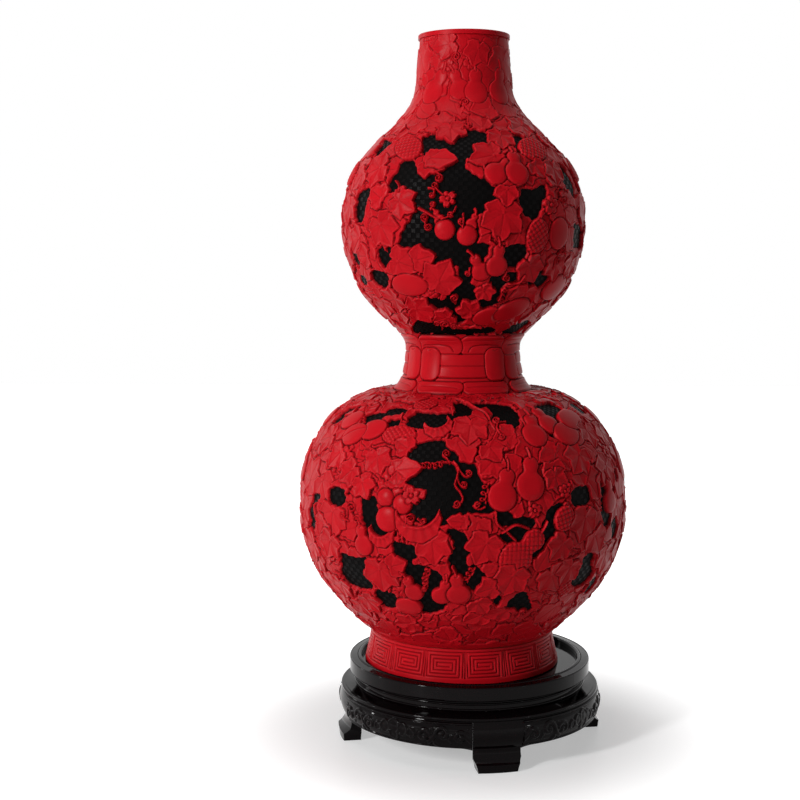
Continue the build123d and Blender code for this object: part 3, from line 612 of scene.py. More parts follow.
def gourd(relief, azimuth, along, radius, turn, base, dome, waist=0.58, net=0.0):
    """A gourd of two bulbs. The lower bulb's middle lies at the place, and the stalk points to turn."""
    cells, u, v = relief.cells(azimuth, along, radius * 3.2 + 3, turn)
    # The upper bulb's radius and distance, and how softly the two bulbs run into each other
    small = radius * waist
    apart = radius + small * 0.72
    soft = radius * 0.36
    first = np.hypot(u, v) - radius
    second = np.hypot(u - apart, v * 1.04) - small
    blend = np.clip(0.5 + 0.5 * (second - first) / soft, 0, 1)
    edge = second * (1 - blend) + first * blend - soft * blend * (1 - blend)
    depth = np.clip(-edge / (radius * 0.95), 0, 1)
    top = base + dome * (1 - (1 - np.clip(depth * 1.8, 0, 1)) ** 2) + 0.25 * depth
    if net:
        top = netted(top, u, v, net)
    relief.lay(cells, edge, top - rounding(edge))
    # The stalk, which starts under the upper bulb's tip and bends aside
    end = apart + small
    stalk = smooth_line([(end - 1.2, 0), (end + radius * 0.25, 0.6), (end + radius * 0.6, 2.0)], 0.35)
    cord(relief, cells, u, v, stalk, STALK_WIDTH, base + dome * 0.6, taper=0.0)


def round_fruit(relief, azimuth, along, long, wide, turn, base, dome, flat=True, net=0.0, seam=False):
    """An oval fruit, a dome or a plate with rounded edges, smooth, seamed or with a netted skin."""
    cells, u, v = relief.cells(azimuth, along, max(long, wide) + 3, turn)
    distance = np.hypot(u / long, v / wide)
    edge = (distance - 1) * min(long, wide)
    top = base + dome * np.clip(1 - distance ** 2, 0, 1) ** (0.38 if flat else 0.55)
    if net:
        top = netted(top, u, v, net)
    if seam:
        top = top - 0.35 * np.exp(-((v - 0.25 * wide * np.cos(u / long * 1.4)) / 0.6) ** 2)
    relief.lay(cells, edge, top - rounding(edge))


def blossom(relief, azimuth, along, size, turn, base):
    """An open flower with a knob in its middle."""
    cells, u, v = relief.cells(azimuth, along, size * 1.1 + 2, turn)
    centre = np.hypot(u, v)
    edge = centre - size * 0.25
    top = np.full(u.shape, base)
    for k in range(PETALS):
        p, q = turned(u, v, 2 * math.pi * k / PETALS)
        d = np.hypot((p - size * 0.58) / 1.15, q) - size * (0.36 + 0.07 * math.sin(2.3 * k + turn))
        # A notch in the petal's end
        d = np.maximum(d, 0.9 - np.hypot(p - size * 1.06, q) * 0.9)
        side = np.clip(np.abs(q) / (size * 0.36), 0, 1)
        petal = base + 0.6 * side ** 1.5 - 0.2 + 0.3 * p / size + 0.25 * np.exp(-(q / 0.5) ** 2)
        top = np.where(d < edge, petal, top)
        edge = np.minimum(edge, d)
    knob = size * 0.22
    top = np.where(centre < knob, base + 0.7 - 0.4 * (centre / knob) ** 2, top)
    top = np.where((centre >= knob) & (centre < size * 0.34), top - 0.5, top)
    relief.lay(cells, edge, top - rounding(edge, 0.3))


def crescent(relief, azimuth, along, size, turn, base, bite=0.75, shift=0.55):
    """A leaf seen from its side, curled along its inner edge."""
    cells, u, v = relief.cells(azimuth, along, size * 1.2 + 2, turn)
    # A disc with a smaller one bitten out of it, scalloped along the outer edge
    outer = np.hypot(u, v) - size
    inner = np.hypot(u, v - size * shift) - size * bite
    ripple = 0.9 * np.abs(np.sin(np.arctan2(v, u) * 4.5)) - 0.5
    edge = np.maximum(outer, -inner) + ripple * np.clip(1 + outer / 3.0, 0, 1)
    lip = np.exp(-((inner - 1.0) / 0.9) ** 2)
    ribs = np.sin(np.arctan2(v - size * shift, u) * 20) * 0.2
    top = base + 0.7 * lip + ribs + 0.25 * np.clip(inner / size, 0, 1)
    relief.lay(cells, edge, top - rounding(edge))


def cord(relief, cells, u, v, line, width, crest, taper):
    """A round cord along a line of points. taper is the share of its width that it loses towards its end."""
    distance, share = line_distance(u, v, line)
    half = width * (1 - taper * share)
    top = crest - 0.75 * np.clip(distance / half, 0, 1) ** 2
    relief.lay(cells, distance - half, top, groove=0.8, drop=0.8)


def vine(relief, places, width):
    """A stem or tendril through places given as azimuth and length along."""
    azimuth, along, local, reach = relief.unrolled(places)
    cells, x, y = relief.cells(azimuth, along, reach + 3)
    cord(relief, cells, x, y, smooth_line(local, 0.45), width, CREST, taper=0.2)


def curl_points(size, turns, hand, tail):
    """A spiral that opens into a tail, with its middle at the origin."""
    t = np.linspace(0, 1, int(30 * turns))
    angle = hand * 2 * math.pi * turns * t
    radius = size * (0.12 + 0.88 * t ** 0.8)
    line = np.stack([radius * np.cos(angle), radius * np.sin(angle)], 1)
    if tail:
        outward = np.array([math.cos(angle[-1]), math.sin(angle[-1])])
        away = hand * np.array([-outward[1], outward[0]])
        s = np.linspace(0.05, 1, max(3, int(tail / 0.5)))[:, None]
        line = np.concatenate([line, line[-1] + tail * (s * away + 0.35 * s * s * outward)])
    return line


def curl(relief, azimuth, along, size, turn, hand, tail=6.0, width=CURL_WIDTH, crest=CREST, turns=1.5):
    """A tendril that ends in a spiral."""
    cells, u, v = relief.cells(azimuth, along, size + tail * 1.2 + 2, turn)
    cord(relief, cells, u, v, curl_points(size, turns, hand, tail)[::-1], width, crest, taper=0.15)


def spring(relief, start, end, most):
    """A coiled tendril: a row of small loops between two places, and not more than most of them."""
    start, end = np.asarray(start, float), np.asarray(end, float)
    azimuth, along = (start + end) / 2
    radius = float(np.interp(along, relief.s, relief.r))
    half = np.array([radius * math.radians(end[0] - start[0]), end[1] - start[1]]) / 2
    length = float(np.hypot(*half))
    loops = max(2, min(most, int(2 * length / SPRING_PITCH)))
    turn = math.degrees(math.atan2(half[1], half[0]))
    cells, u, v = relief.cells(azimuth, along, length + SPRING_RADIUS + 3, turn)
    t = np.linspace(0, 1, loops * 22)
    angle = 2 * math.pi * loops * t
    x = -length + 2 * length * t + SPRING_RADIUS * np.sin(angle)
    y = SPRING_RADIUS * np.cos(angle) + 0.5 * np.sin(angle / 3)
    cord(relief, cells, u, v, np.stack([x, y], 1), SPRING_WIDTH, SPRING_CREST, taper=0.2)


# Measures of the pieces

# Height of the coats' plain bed over the ground, which the motifs cover
BED = 1.0

# Where the small motifs start and end in each coat, as lengths along the outline
LOWER_CARVED, UPPER_CARVED = (11.0, 251.0), (304.0, 552.0)

# Where the neck starts along the outline, over how far it is blended in, how nearly flush it is, and
# how far its highest faces stay under the lip
NECK_START, NECK_BLEND, NECK_FLUSH, NECK_STEP = 480.0, 30.0, 0.55, 0.05

# Height over the ground, size and spacing of the small motifs, in two layers
SMALL_LAYERS = ((1.5, 21.0, 15.0), (2.1, 19.0, 23.0))

# Chances of the small motifs, added up
SMALL_MOTIFS = (
    (0.34, "palm"), (0.56, "trefoil"), (0.80, "plate"), (0.85, "gourd"), (0.865, "fruit"), (0.88, "seamed"),
    (0.90, "net"), (0.94, "blossom"), (0.97, "crescent"), (1.0, "curl"),
)

# Plain hollow over the foot: where it ends, how wide its edge is, and its height over the ground
PLAIN_END, PLAIN_WALL, PLAIN_RISE = 7.5, 1.2, 2.4

# Levels of the sash: loops under the belt, the belt, the knots, and loops over the belt
UNDER_BELT_LEVEL, BELT_LEVEL, KNOT_LEVEL, OVER_BELT_LEVEL = 280.0, 295.7, 296.8, 311.0

# Key fret of the foot band, in millimetres, and the azimuth of its first panel in degrees
FRET_PANELS, FRET_TURN, FRET_RADIUS, FRET_ALONG = 15, 14.4, 74.5, 14.0
FRET_GAP, FRET_HEIGHT, FRET_PITCH, FRET_DEPTH, FRET_CUT = 3.4, 18.6, 2.6, 0.85, 0.45
FRET_MOST_TRIANGLES = 190000

# Diaper ground: each square's margin as a share of it, its height, and the ground's gap and thickness
TILE_MARGIN, TILE_RISE, GROUND_GAP, GROUND_THICK = 0.1, 0.16, 0.1, 0.7
# Squares round the upper globe, as a share of those round the lower one
UPPER_TILES = 0.76

# Apron: radius in millimetres, spread in degrees, and how far the carving stays off its edges
APRON_RADIUS, APRON_SPREAD, APRON_MARGIN = 102.5, 67.8, 0.5
# Spacing of the carving's points, its bed and full height, and how deep its ground and skin lie
APRON_STEP, APRON_BED, APRON_HEIGHT, APRON_GROUND, APRON_SKIN = 0.45, 0.6, 1.9, 0.45, 0.6
# The two beads along an apron: distance from the carving's edges, half width and height
BEAD_PLACE, BEAD_WIDTH, BEAD_HEIGHT = 1.3, 0.95, 1.1
# Place beside the panel's middle, lift, size and turn of each scroll
SCROLLS = ((25.0, -1.0, 5.2, 30), (39.0, 1.2, 5.4, 150), (52.5, -1.0, 4.8, 40))
# Place and radius of each lobe of the panel
PANEL_LOBES = (
    (0.0, 2.2, 6.2), (7.6, 1.0, 5.4), (-7.6, 1.0, 5.4),
    (15.0, -0.6, 4.2), (-15.0, -0.6, 4.2), (0.0, -3.4, 5.0),
)
# Radius, level and half thickness of the edges of the tray
TRAY_EDGES = {"tray_edge_outer": (94.6, 60.9, 0.7), "tray_edge_inner": (86.9, 62.0, 0.5)}

# What is carved where
# Azimuths in degrees from the front, lengths in millimetres along the outline from the top of the foot

LOWER_OPENINGS = (
    ((-12.6, 186), (-7.4, 187.6), (-6.3, 182), (-2.1, 176), (-1.6, 170), (4.2, 168), (4.7, 161),
     (6.3, 155), (10, 150), (9.5, 143), (10, 136), (7.4, 134.5), (3.2, 136), (0, 130), (-2.6, 128.6),
     (-4.7, 127), (-7.4, 126), (-12.6, 127), (-15.8, 128.6), (-17.9, 133), (-16.8, 138), (-11, 143),
     (-11, 152), (-14.7, 152), (-17.9, 155), (-19, 159.5), (-16, 163), (-19.5, 168), (-20, 178.6),
     (-16.8, 183)),
    ((-4.2, 121), (-1.6, 120), (1, 116.7), (4.2, 109.5), (2.1, 106), (0.5, 97.6), (2.1, 90.5), (4.2, 94),
     (7.4, 85.7), (9.5, 78.6), (10.5, 70), (6.3, 71.4), (3.2, 76), (1, 83), (-1, 89), (-2.6, 93),
     (-3.7, 100), (-1.6, 107), (-2.1, 114)),
    ((-22.6, 109.5), (-20, 108), (-15.8, 107), (-15.3, 101), (-17.4, 97.6), (-16.8, 91.7), (-11.6, 91.7),
     (-7.4, 85.7), (-6.8, 79.8), (-9.5, 71.4), (-10, 62), (-6.3, 59.5), (-7.4, 54.8), (-11.6, 50),
     (-15.3, 50), (-15.8, 59.5), (-13.7, 66.7), (-14.2, 72.6), (-17.4, 79.8), (-19, 88), (-21.6, 94),
     (-22, 102)),
    ((-34.7, 141.7), (-30, 140.5), (-29, 133), (-29.5, 126), (-26.8, 119), (-21.6, 116.7), (-25.3, 113),
     (-30.5, 109.5), (-33, 113), (-33.7, 121), (-34.2, 131)),
    ((-45.3, 94), (-39, 91.7), (-33.7, 94), (-34.2, 89), (-36.8, 85.7), (-37.4, 79.8), (-33.7, 71.4),
     (-36.3, 67.9), (-40, 66.7), (-46.3, 69), (-48.4, 77), (-46.3, 83)),
    ((-32.6, 66.7), (-28.4, 67.9), (-25.8, 63), (-26.3, 52), (-30.5, 50), (-34.2, 56)),
    ((-51, 141), (-48, 144), (-43.4, 143), (-43, 136), (-45.3, 131), (-50, 133)),
    ((-56.3, 136), (-61.5, 134), (-62, 126), (-60, 112), (-66.3, 105), (-63, 114), (-65.8, 120),
     (-61.6, 128.6)),
    ((-23.5, 208), (-21, 214.5), (-13, 213), (-6.3, 214.5), (-3.9, 211), (-7.4, 203), (-12.6, 199.5),
     (-19, 200), (-23.5, 202)),
    ((-3.9, 228), (-1, 230.5), (1, 226), (7.4, 229), (12.5, 229), (11.5, 225), (7.4, 222.5), (4.2, 219),
     (2.6, 213), (-1, 209), (-3.2, 211), (-2.2, 219)),
    ((12.8, 229), (18, 228), (25, 224), (25.6, 217), (26.3, 214), (24.7, 203.6), (21, 199), (16.8, 201),
     (13.2, 207), (15.8, 214)),
    ((38, 216), (42, 221), (52, 222), (56, 216), (52, 210), (47.9, 203), (44.7, 200), (40, 205)),
    ((32.5, 207), (35.5, 206), (39.5, 198), (40, 188), (37, 190), (34.5, 198)),
    ((-47.5, 206), (-42, 211.5), (-36.8, 210), (-40, 202), (-44.2, 199), (-44.2, 191.7), (-46.3, 195),
     (-45.3, 201)),
    ((-38.4, 216), (-33, 219.5), (-28, 217), (-29, 213), (-33.7, 211), (-37.6, 210)),
    ((-32.6, 203.6), (-28.4, 205), (-29, 199), (-32, 195)),
    ((-68.4, 208), (-60, 215.5), (-64.2, 207), (-66.3, 194), (-70.5, 194)),
    ((11, 136), (15.3, 133), (16.8, 127), (21, 128.6), (24.2, 126), (21, 116.7), (17.9, 112), (14.7, 113),
     (12.6, 117), (15.8, 119), (15.3, 125), (12.6, 126), (11.6, 131)),
    ((29.8, 134), (34.6, 137), (33.6, 126), (31.2, 117), (27.4, 107), (24.2, 99), (22.4, 103),
     (25.8, 117), (28.2, 126)),
    ((39.5, 143), (42, 146.5), (47.3, 146.5), (47.6, 137), (42.6, 132.5), (39.5, 137)),
    ((54.8, 148), (58, 145), (60.6, 134), (59.9, 118), (56.5, 113), (55, 124)),
    ((46.8, 93), (51.6, 95), (51, 86), (54.7, 76), (52, 69), (46.3, 68), (43, 75), (46.8, 83)),
    ((18.4, 62), (21, 68), (23.7, 68), (25.8, 59.5), (28.4, 50), (24.2, 50), (20.5, 56), (17.4, 55)),
    ((11.6, 70), (13.7, 68), (13.7, 59.5), (11.6, 62)),
    ((57.9, 68), (61, 70), (64, 62), (62, 55), (58, 56)),
    ((62, 113), (65, 118), (68, 110), (66, 102), (63, 105)),
    ((69.5, 216), (78, 216), (78, 205), (70, 206)),
    ((66, 158), (69, 160), (70, 148), (67, 146)),
)

UPPER_OPENINGS = (
    ((-25, 468), (-21, 471), (-13, 472), (-11, 466), (-8, 461), (-5, 459.5), (-3, 463), (-1.5, 470),
     (3, 475), (9, 475.5), (12.5, 473), (18, 471), (18, 465), (17, 458), (12.5, 457), (9, 453), (7, 449),
     (0.5, 448), (-0.5, 441), (-5, 441), (-3.5, 447.5), (-12, 448.5), (-19, 449.5), (-23.5, 457)),
    ((-0.3, 442), (-0.2, 438), (4, 432.6), (7.4, 428.4), (10, 428.4), (11, 425), (14.6, 421), (14, 413),
     (14.2, 407), (6.7, 405), (4, 399), (5.8, 393), (6.4, 385), (4, 379.4), (11.2, 380), (10.6, 375),
     (8.8, 369), (8.2, 364), (4.6, 360), (3.4, 356), (2.8, 350), (6.4, 345), (8.2, 337), (4, 332),
     (-0.2, 329), (-0.2, 323), (2.2, 316), (-2, 312), (-9.2, 314), (-17.6, 315), (-18.2, 323),
     (-20.6, 329), (-23.6, 336), (-20, 336.6), (-10.4, 333), (-5, 343), (-1.4, 347), (-0.8, 365),
     (-3.2, 366), (-9.2, 364), (-12.8, 361), (-14, 365), (-11, 372), (-15.2, 377), (-22.4, 375),
     (-28.4, 376), (-32, 379), (-29.6, 380), (-28.4, 387), (-26, 393), (-23.6, 397), (-21.2, 405),
     (-23, 417), (-26, 422), (-30, 421), (-36.5, 421), (-36, 429), (-32.6, 437), (-33.2, 443),
     (-27.2, 445.6), (-24.8, 439), (-22.4, 433), (-18.8, 432), (-12.8, 433), (-8, 436), (-4.4, 443)),
    ((28.6, 421), (35.2, 420), (40.6, 424.6), (41.2, 418), (38.2, 415), (36.4, 405), (33.4, 400),
     (28.6, 404), (26.8, 412)),
    ((20.6, 378), (25.6, 379.4), (29.8, 379), (29.6, 369), (26.8, 365), (22, 365), (19, 370)),
    ((14.8, 355), (19.6, 355), (24.4, 358), (28.6, 357), (25.6, 352), (22, 351), (19.6, 347), (23.8, 343),
     (23.2, 335), (16, 329), (10.6, 328), (10, 335), (16, 337), (17.8, 343), (14.2, 350)),
    ((37.2, 357), (41, 361), (47, 360), (47.6, 352), (41, 345), (36, 349)),
    ((-50, 299), (-40.4, 307), (-33.2, 312), (-28.4, 313), (-21.2, 312), (-20, 308), (-17.6, 306),
     (-11.6, 305), (-3.2, 302), (6.4, 303), (19.6, 304), (28, 302), (23.2, 299.5), (4, 299),
     (-3.2, 298.2), (-28.4, 299), (-39.2, 298.6)),
    ((38.2, 298.4), (44.8, 306), (54.4, 311), (64, 308), (58, 300), (46, 298.2)),
    ((31, 468), (40, 470.6), (38.2, 465), (33.4, 454), (31, 457)),
    ((-65, 469.6), (-50.6, 464), (-55.4, 459), (-58, 452), (-60, 457), (-60.8, 465)),
    ((-42, 464), (-40, 470), (-38, 467), (-38.5, 462), (-41, 461)),
    ((-57.8, 420), (-52.4, 422), (-49.4, 425), (-47.4, 424), (-49.4, 418), (-51.8, 413), (-51.2, 405),
     (-54.2, 398), (-57.8, 400), (-60.2, 411)),
    ((-66.2, 380.6), (-60.2, 381), (-60.2, 373), (-62, 364), (-66.8, 367), (-68.6, 375)),
    ((-51.2, 359), (-42.8, 358), (-42.2, 352), (-47, 346), (-53, 352)),
    ((-68, 355), (-60.2, 354), (-64.4, 348), (-70.4, 349)),
    ((-43, 375), (-40, 378), (-39, 368), (-41, 364), (-43, 369)),
    ((-36.5, 378), (-35, 372), (-36, 364), (-38, 370)),
    ((53.6, 444), (60, 443), (65, 434), (67, 425), (64, 417), (59.8, 423), (55.6, 429), (56.8, 436)),
    ((64, 396), (75, 393), (76, 379), (65, 380), (63, 387)),
    ((69, 464), (78, 468), (80, 458), (70, 458)),
    ((48, 466), (51, 466), (51, 462), (49, 462)),
)

# Openings of the right side, which the left side repeats, mirrored
LOWER_SIDE_OPENINGS = (
    ((83, 179), (88, 183), (95, 182), (98, 175), (93, 168), (86, 170)),
    ((99, 152), (104, 156), (107, 146), (105, 136), (101, 134), (99, 142)),
    ((80, 136), (85, 139), (89, 131), (87, 121), (82, 119), (79, 127)),
    ((92, 114), (97, 118), (103, 111), (101, 100), (96, 97), (91, 104)),
    ((82, 91), (87, 94), (91, 85), (88, 76), (83, 75), (80, 83)),
    ((93, 209), (100, 214), (105, 208), (100, 201), (94, 202)),
    ((94, 62), (99, 65), (102, 56), (96, 51)),
)
UPPER_SIDE_OPENINGS = (
    ((82, 428), (89, 432), (96, 424), (94, 413), (87, 408), (82, 416)),
    ((99, 396), (106, 400), (108, 388), (103, 378), (97, 384)),
    ((82, 366), (90, 370), (95, 360), (90, 350), (83, 354)),
    ((96, 338), (104, 342), (107, 332), (99, 326)),
    ((88, 474), (97, 478), (103, 470), (96, 463), (89, 465)),
)


def placed(place, mirror):
    """A place of azimuth and length along, as it is or mirrored."""
    return (mirror[0] - place[0], place[1] + mirror[1]) if mirror else place


def carve_openings(relief, openings, side_openings):
    """Cuts the openings of both sides, and those of the front with the same mirrored at the back."""
    for corners in side_openings:
        for mirror in (None, LEFT):
            open_ground(relief, [placed(corner, mirror) for corner in corners], 0.6)
    for corners in openings:
        open_ground(relief, corners, 0.5)
        open_ground(relief, [placed(corner, BACK) for corner in corners], 0.6)


def small_motif(relief, kind, azimuth, along, size, turn, base, tilt, phase):
    """Lays one of the small motifs that fill the red."""
    where = (relief, azimuth, along)
    if kind == "plate":
        leaf(*where, size, turn, base, kind, 0.3, tilt=tilt, phase=phase)
    elif kind in LEAVES:
        leaf(*where, size, turn, base, kind, tilt=tilt, phase=phase)
    elif kind == "gourd":
        gourd(*where, size * 0.34, turn, base, 0.5)
    elif kind in ("fruit", "seamed"):
        round_fruit(*where, size * 0.5, size * 0.38, turn, base, 0.5, seam=kind == "seamed")
    elif kind == "net":
        round_fruit(*where, size * 0.5, size * 0.36, turn, base, 0.6, net=4.2)
    elif kind == "blossom":
        blossom(*where, size * 0.36, turn, base)
    elif kind == "crescent":
        crescent(*where, size * 0.55, turn, base)
    else:
        curl(*where, 2.6, turn, hand=1 if phase > 3 else -1, crest=base + 1.0)


def strew(relief, seed, low, high, base, size, spacing):
    """Small leaves, fruit, flowers and tendrils that fill the red between the main motifs."""
    chance = np.random.default_rng(seed)
    along = low
    row = 0
    while along <= high:
        radius = float(np.interp(along, relief.s, relief.r))
        count = max(5, int(2 * math.pi * radius / spacing))
        for k in range(count):
            azimuth = -180 + 360 * (k + 0.5 * (row % 2)) / count + chance.uniform(-0.3, 0.3) * 360 / count
            place = along + chance.uniform(-0.25, 0.25) * spacing
            turn = chance.uniform(0, 360)
            lift = base + chance.uniform(-0.35, 0.35)
            scale = size * chance.uniform(0.8, 1.2)
            pick = chance.uniform()
            tilt = (chance.uniform(-0.5, 0.5), chance.uniform(-0.5, 0.5))
            phase = chance.uniform(0, 6.28)
            kind = next(kind for share, kind in SMALL_MOTIFS if pick < share)
            small_motif(relief, kind, azimuth, place, scale, turn, lift, tilt, phase)
        along += spacing * 0.86
        row += 1


# Kind of motif, azimuth, length along, size, turn, base height, and what that motif also takes
LOWER_MOTIFS = (
    ("palm", 3.4, 202.5, 17, 262, 2.5),
    ("crescent", -10, 201, 11, 20, 2.6),
    ("net", -25.5, 191, 14, 0, 2.3, {"wide": 8.5}),
    ("fruit", -38.5, 194, 12, 20, 2.5, {"wide": 9}),
    ("fruit", -47.5, 188, 12, 30, 2.4, {"wide": 9.5, "seam": True}),
    ("fruit", -55, 200, 11, 40, 2.4, {"wide": 8}),
    ("palm", -62, 182, 15, 200, 2.3),
    ("trefoil", -50, 172, 15, 230, 2.3),
    ("palm", -31.5, 172, 15, 290, 2.5),
    ("palm", -41, 160, 14, 220, 2.4),
    ("trefoil", -20, 180, 12, 150, 2.2),
    ("blade", -24, 163, 20, 8, 2.5),
    ("palm", -35.5, 152, 13, 300, 2.7),
    ("trefoil", -48, 127, 21, 262, 2.4),
    ("trefoil", -53, 116, 15, 230, 2.3),
    ("palm", -50, 104, 16, 240, 2.4),
    ("palm", -64, 96, 17, 200, 2.2),
    ("gourd", -34, 105, 8, 100, 2.4),
    ("crescent", -27, 116, 11, 10, 2.5),
    ("palm", -28.5, 88, 19, 265, 2.6),
    ("trefoil", -24, 91, 12, 20, 2.7),
    ("palm", -9.5, 113, 17, 275, 2.6),
    ("trefoil", 5.0, 128, 15, 255, 2.6),
    ("blade", 1.5, 127, 13, 175, 2.7),
    ("palm", 8, 112, 17, 245, 2.4),
    ("net_gourd", 17.8, 99, 13.0, 44, 2.5),
    ("palm", 17.5, 86, 18, 250, 2.6),
    ("trefoil", 11, 76, 13, 200, 2.5),
    ("palm", 11, 172, 14, 225, 2.5),
    ("trefoil", 10, 183, 13, 300, 2.4),
    ("trefoil", 20, 192, 14, 190, 2.4),
    ("palm", 27, 182, 17, 250, 2.3),
    ("palm", 36, 176, 18, 250, 2.4),
    ("trefoil", 33, 166, 13, 280, 2.5),
    ("palm", 47, 172, 17, 230, 2.3),
    ("gourd", 13.2, 145, 10.7, 74, 2.4),
    ("gourd", 23.2, 152, 11, 82, 2.6),
    ("blossom", 24, 134, 5.5, 20, 2.5),
    ("palm", 33, 158, 13, 280, 2.5),
    ("blossom", 36, 146, 5.5, 10, 2.5),
    ("net", 35.3, 126, 10, 60, 2.4, {"wide": 8.5}),
    ("palm", 44.5, 125, 18, 256, 2.5),
    ("palm", 35, 108, 15, 230, 2.5),
    ("palm", 32, 84, 17, 300, 2.4),
    ("palm", 40, 88, 15, 250, 2.4),
    ("trefoil", 50, 110, 17, 300, 2.3),
    ("palm", 60, 92, 17, 270, 2.3),
    ("gourd", 29.5, 191, 10, 80, 2.6),
    ("gourd", 39, 200, 9, 100, 2.5),
    ("fruit", 45.5, 190, 13, 10, 2.6, {"wide": 10}),
    ("fruit", 54, 202, 14, 10, 2.6, {"wide": 10}),
    ("palm", 60, 190, 15, 260, 2.3),
    ("palm", 62, 160, 18, 230, 2.3),
    ("gourd", 60, 132, 9, 90, 2.4),
    ("gourd", -17, 70, 7.2, 110, 2.7),
    ("fruit", -20.5, 55.5, 10.5, 0, 2.7, {"wide": 8.5}),
    ("gourd", -7.2, 68, 7.4, 70, 2.5),
    ("gourd", -1.0, 70, 9.0, 96, 2.7),
    ("trefoil", 6, 62, 13, 300, 2.4),
    ("palm", -40, 56, 14, 300, 2.3),
    ("palm", -52, 66, 15, 250, 2.3),
    ("gourd", -26.6, 145.5, 5.6, 112, 1.9),
    ("gourd", -21.6, 147.0, 4.6, 100, 1.9),
    ("ball", -25.8, 142.5, 7.0, 0, 0.9),
    ("ball", -19.6, 138.6, 7.6, 0, 0.9),
    ("ball", -24.8, 126.6, 9.6, 0, 0.9),
    ("crescent", -14.2, 128.4, 17.5, 4, 2.3, {"bite": 0.93, "shift": 0.62}),
    ("blossom", -16.6, 145, 7.0, 30, 2.4),
    ("trefoil", -22, 152, 9, 100, 2.3),
)

UPPER_MOTIFS = (
    ("trefoil", -19, 443.5, 15, 338, 2.5),
    ("net", -33, 458, 15, 325, 2.3, {"wide": 10}),
    ("palm", 16, 449, 18, 195, 2.6),
    ("blade", -18, 446.5, 20, 356, 2.7),
    ("palm", -9, 478, 15, 280, 2.4),
    ("palm", -38, 399, 17, 200, 2.4),
    ("palm", -40, 396, 18, 300, 2.6),
    ("palm", -30, 413, 15, 330, 2.7, {"fold": 1.1}),
    ("trefoil", -40, 415, 14, 150, 2.5),
    ("palm", -46, 440, 18, 200, 2.4),
    ("trefoil", -60, 436, 15, 230, 2.3),
    ("palm", -66, 412, 15, 260, 2.3),
    ("palm", -56, 386, 16, 220, 2.4),
    ("trefoil", -52, 372, 13, 180, 2.3),
    ("palm", -32, 368, 17, 340, 2.5),
    ("trefoil", -22, 369, 14, 15, 2.6),
    ("palm", -12, 352, 18, 60, 2.6, {"spread": 1.15}),
    ("fruit", -28.5, 349, 15.5, 0, 2.5, {"wide": 9.5}),
    ("palm", -42, 336, 15, 200, 2.3),
    ("palm", -30, 326, 17, 350, 2.5),
    ("palm", 18, 404, 20, 262, 2.6, {"fold": 0.9}),
    ("trefoil", 20, 421, 12, 265, 2.6),
    ("gourd", 15.5, 433.5, 8.8, 40, 2.5),
    ("gourd", 26.3, 434, 9.6, 88, 2.7),
    ("net", 43, 457, 15, 20, 2.4, {"wide": 11}),
    ("trefoil", 38, 442, 12, 300, 2.4),
    ("palm", 51, 440, 14, 260, 2.5),
    ("palm", 24, 470, 14, 260, 2.4),
    ("net", 35.5, 387, 13, 80, 2.4, {"wide": 10}),
    ("fruit", 49, 389, 12, 90, 2.5, {"wide": 11}),
    ("blossom", 43, 410, 7.5, 20, 2.6),
    ("blossom", 53, 415, 7, 50, 2.5),
    ("gourd", 8.8, 360, 7.2, 118, 2.5),
    ("gourd", 16, 364.5, 8.2, 86, 2.7),
    ("palm", 11, 345, 10, 300, 2.6),
    ("palm", 33, 365, 15, 300, 2.5),
    ("palm", 36, 343, 15, 260, 2.4),
    ("palm", 5, 324, 12, 120, 2.5),
    ("fruit", 17, 319, 12, 20, 2.5, {"wide": 9}),
    ("fruit", 32, 326, 15, 30, 2.5, {"wide": 10}),
    ("fruit", 58, 346, 15, 10, 2.6, {"wide": 11}),
    ("palm", 50, 368, 15, 280, 2.4),
    ("palm", 66, 368, 14, 240, 2.4),
    ("palm", -56, 332, 14, 250, 2.3),
    ("palm", -10, 318, 12, 200, 2.4),
    ("gourd", -10.2, 398, 4.4, 118, 1.9),
    ("gourd", 3.6, 395, 4.4, 66, 1.9),
    ("ball", -8.2, 391.4, 7.8, 0, 0.9),
    ("ball", 1.8, 387.2, 7.6, 0, 0.9),
    ("blossom", -6.8, 414, 6.5, 40, 2.5),
    ("palm", -46, 520, 14, 20, 2.4),
    ("blossom", -18, 531, 8, 10, 2.5),
    ("gourd", -38, 514, 9.5, 60, 2.4),
    ("gourd", -4, 515, 8, 110, 2.5),
    ("gourd", 14, 513, 9, 90, 2.5),
    ("gourd", 44, 514, 9.5, 80, 2.5),
    ("palm", 18, 546, 13, 250, 2.4),
    ("palm", -18, 550, 14, 190, 2.5),
)

# Main motifs of the right side, which the left side repeats, mirrored
LOWER_SIDE_MOTIFS = (
    ("palm", 90, 166, 18, 250, 2.5),
    ("gourd", 80, 152, 10, 80, 2.5),
    ("gourd", 91, 147, 9, 100, 2.6),
    ("palm", 97, 134, 17, 230, 2.4),
    ("palm", 78, 116, 17, 300, 2.4),
    ("net", 106, 122, 12, 60, 2.4, {"wide": 9}),
    ("fruit", 86, 199, 13, 20, 2.5, {"wide": 9}),
    ("palm", 92, 92, 16, 250, 2.5),
    ("palm", 74, 186, 16, 240, 2.4),
    ("gourd", 86, 66, 8, 90, 2.6),
)
UPPER_SIDE_MOTIFS = (
    ("palm", 90, 406, 18, 250, 2.5),
    ("net", 80, 441, 14, 30, 2.4, {"wide": 10}),
    ("gourd", 100, 368, 9, 90, 2.6),
    ("palm", 84, 388, 15, 230, 2.4),
    ("fruit", 92, 344, 13, 10, 2.5, {"wide": 9}),
    ("palm", 102, 452, 17, 250, 2.4),
    ("palm", 78, 340, 14, 300, 2.4),
)

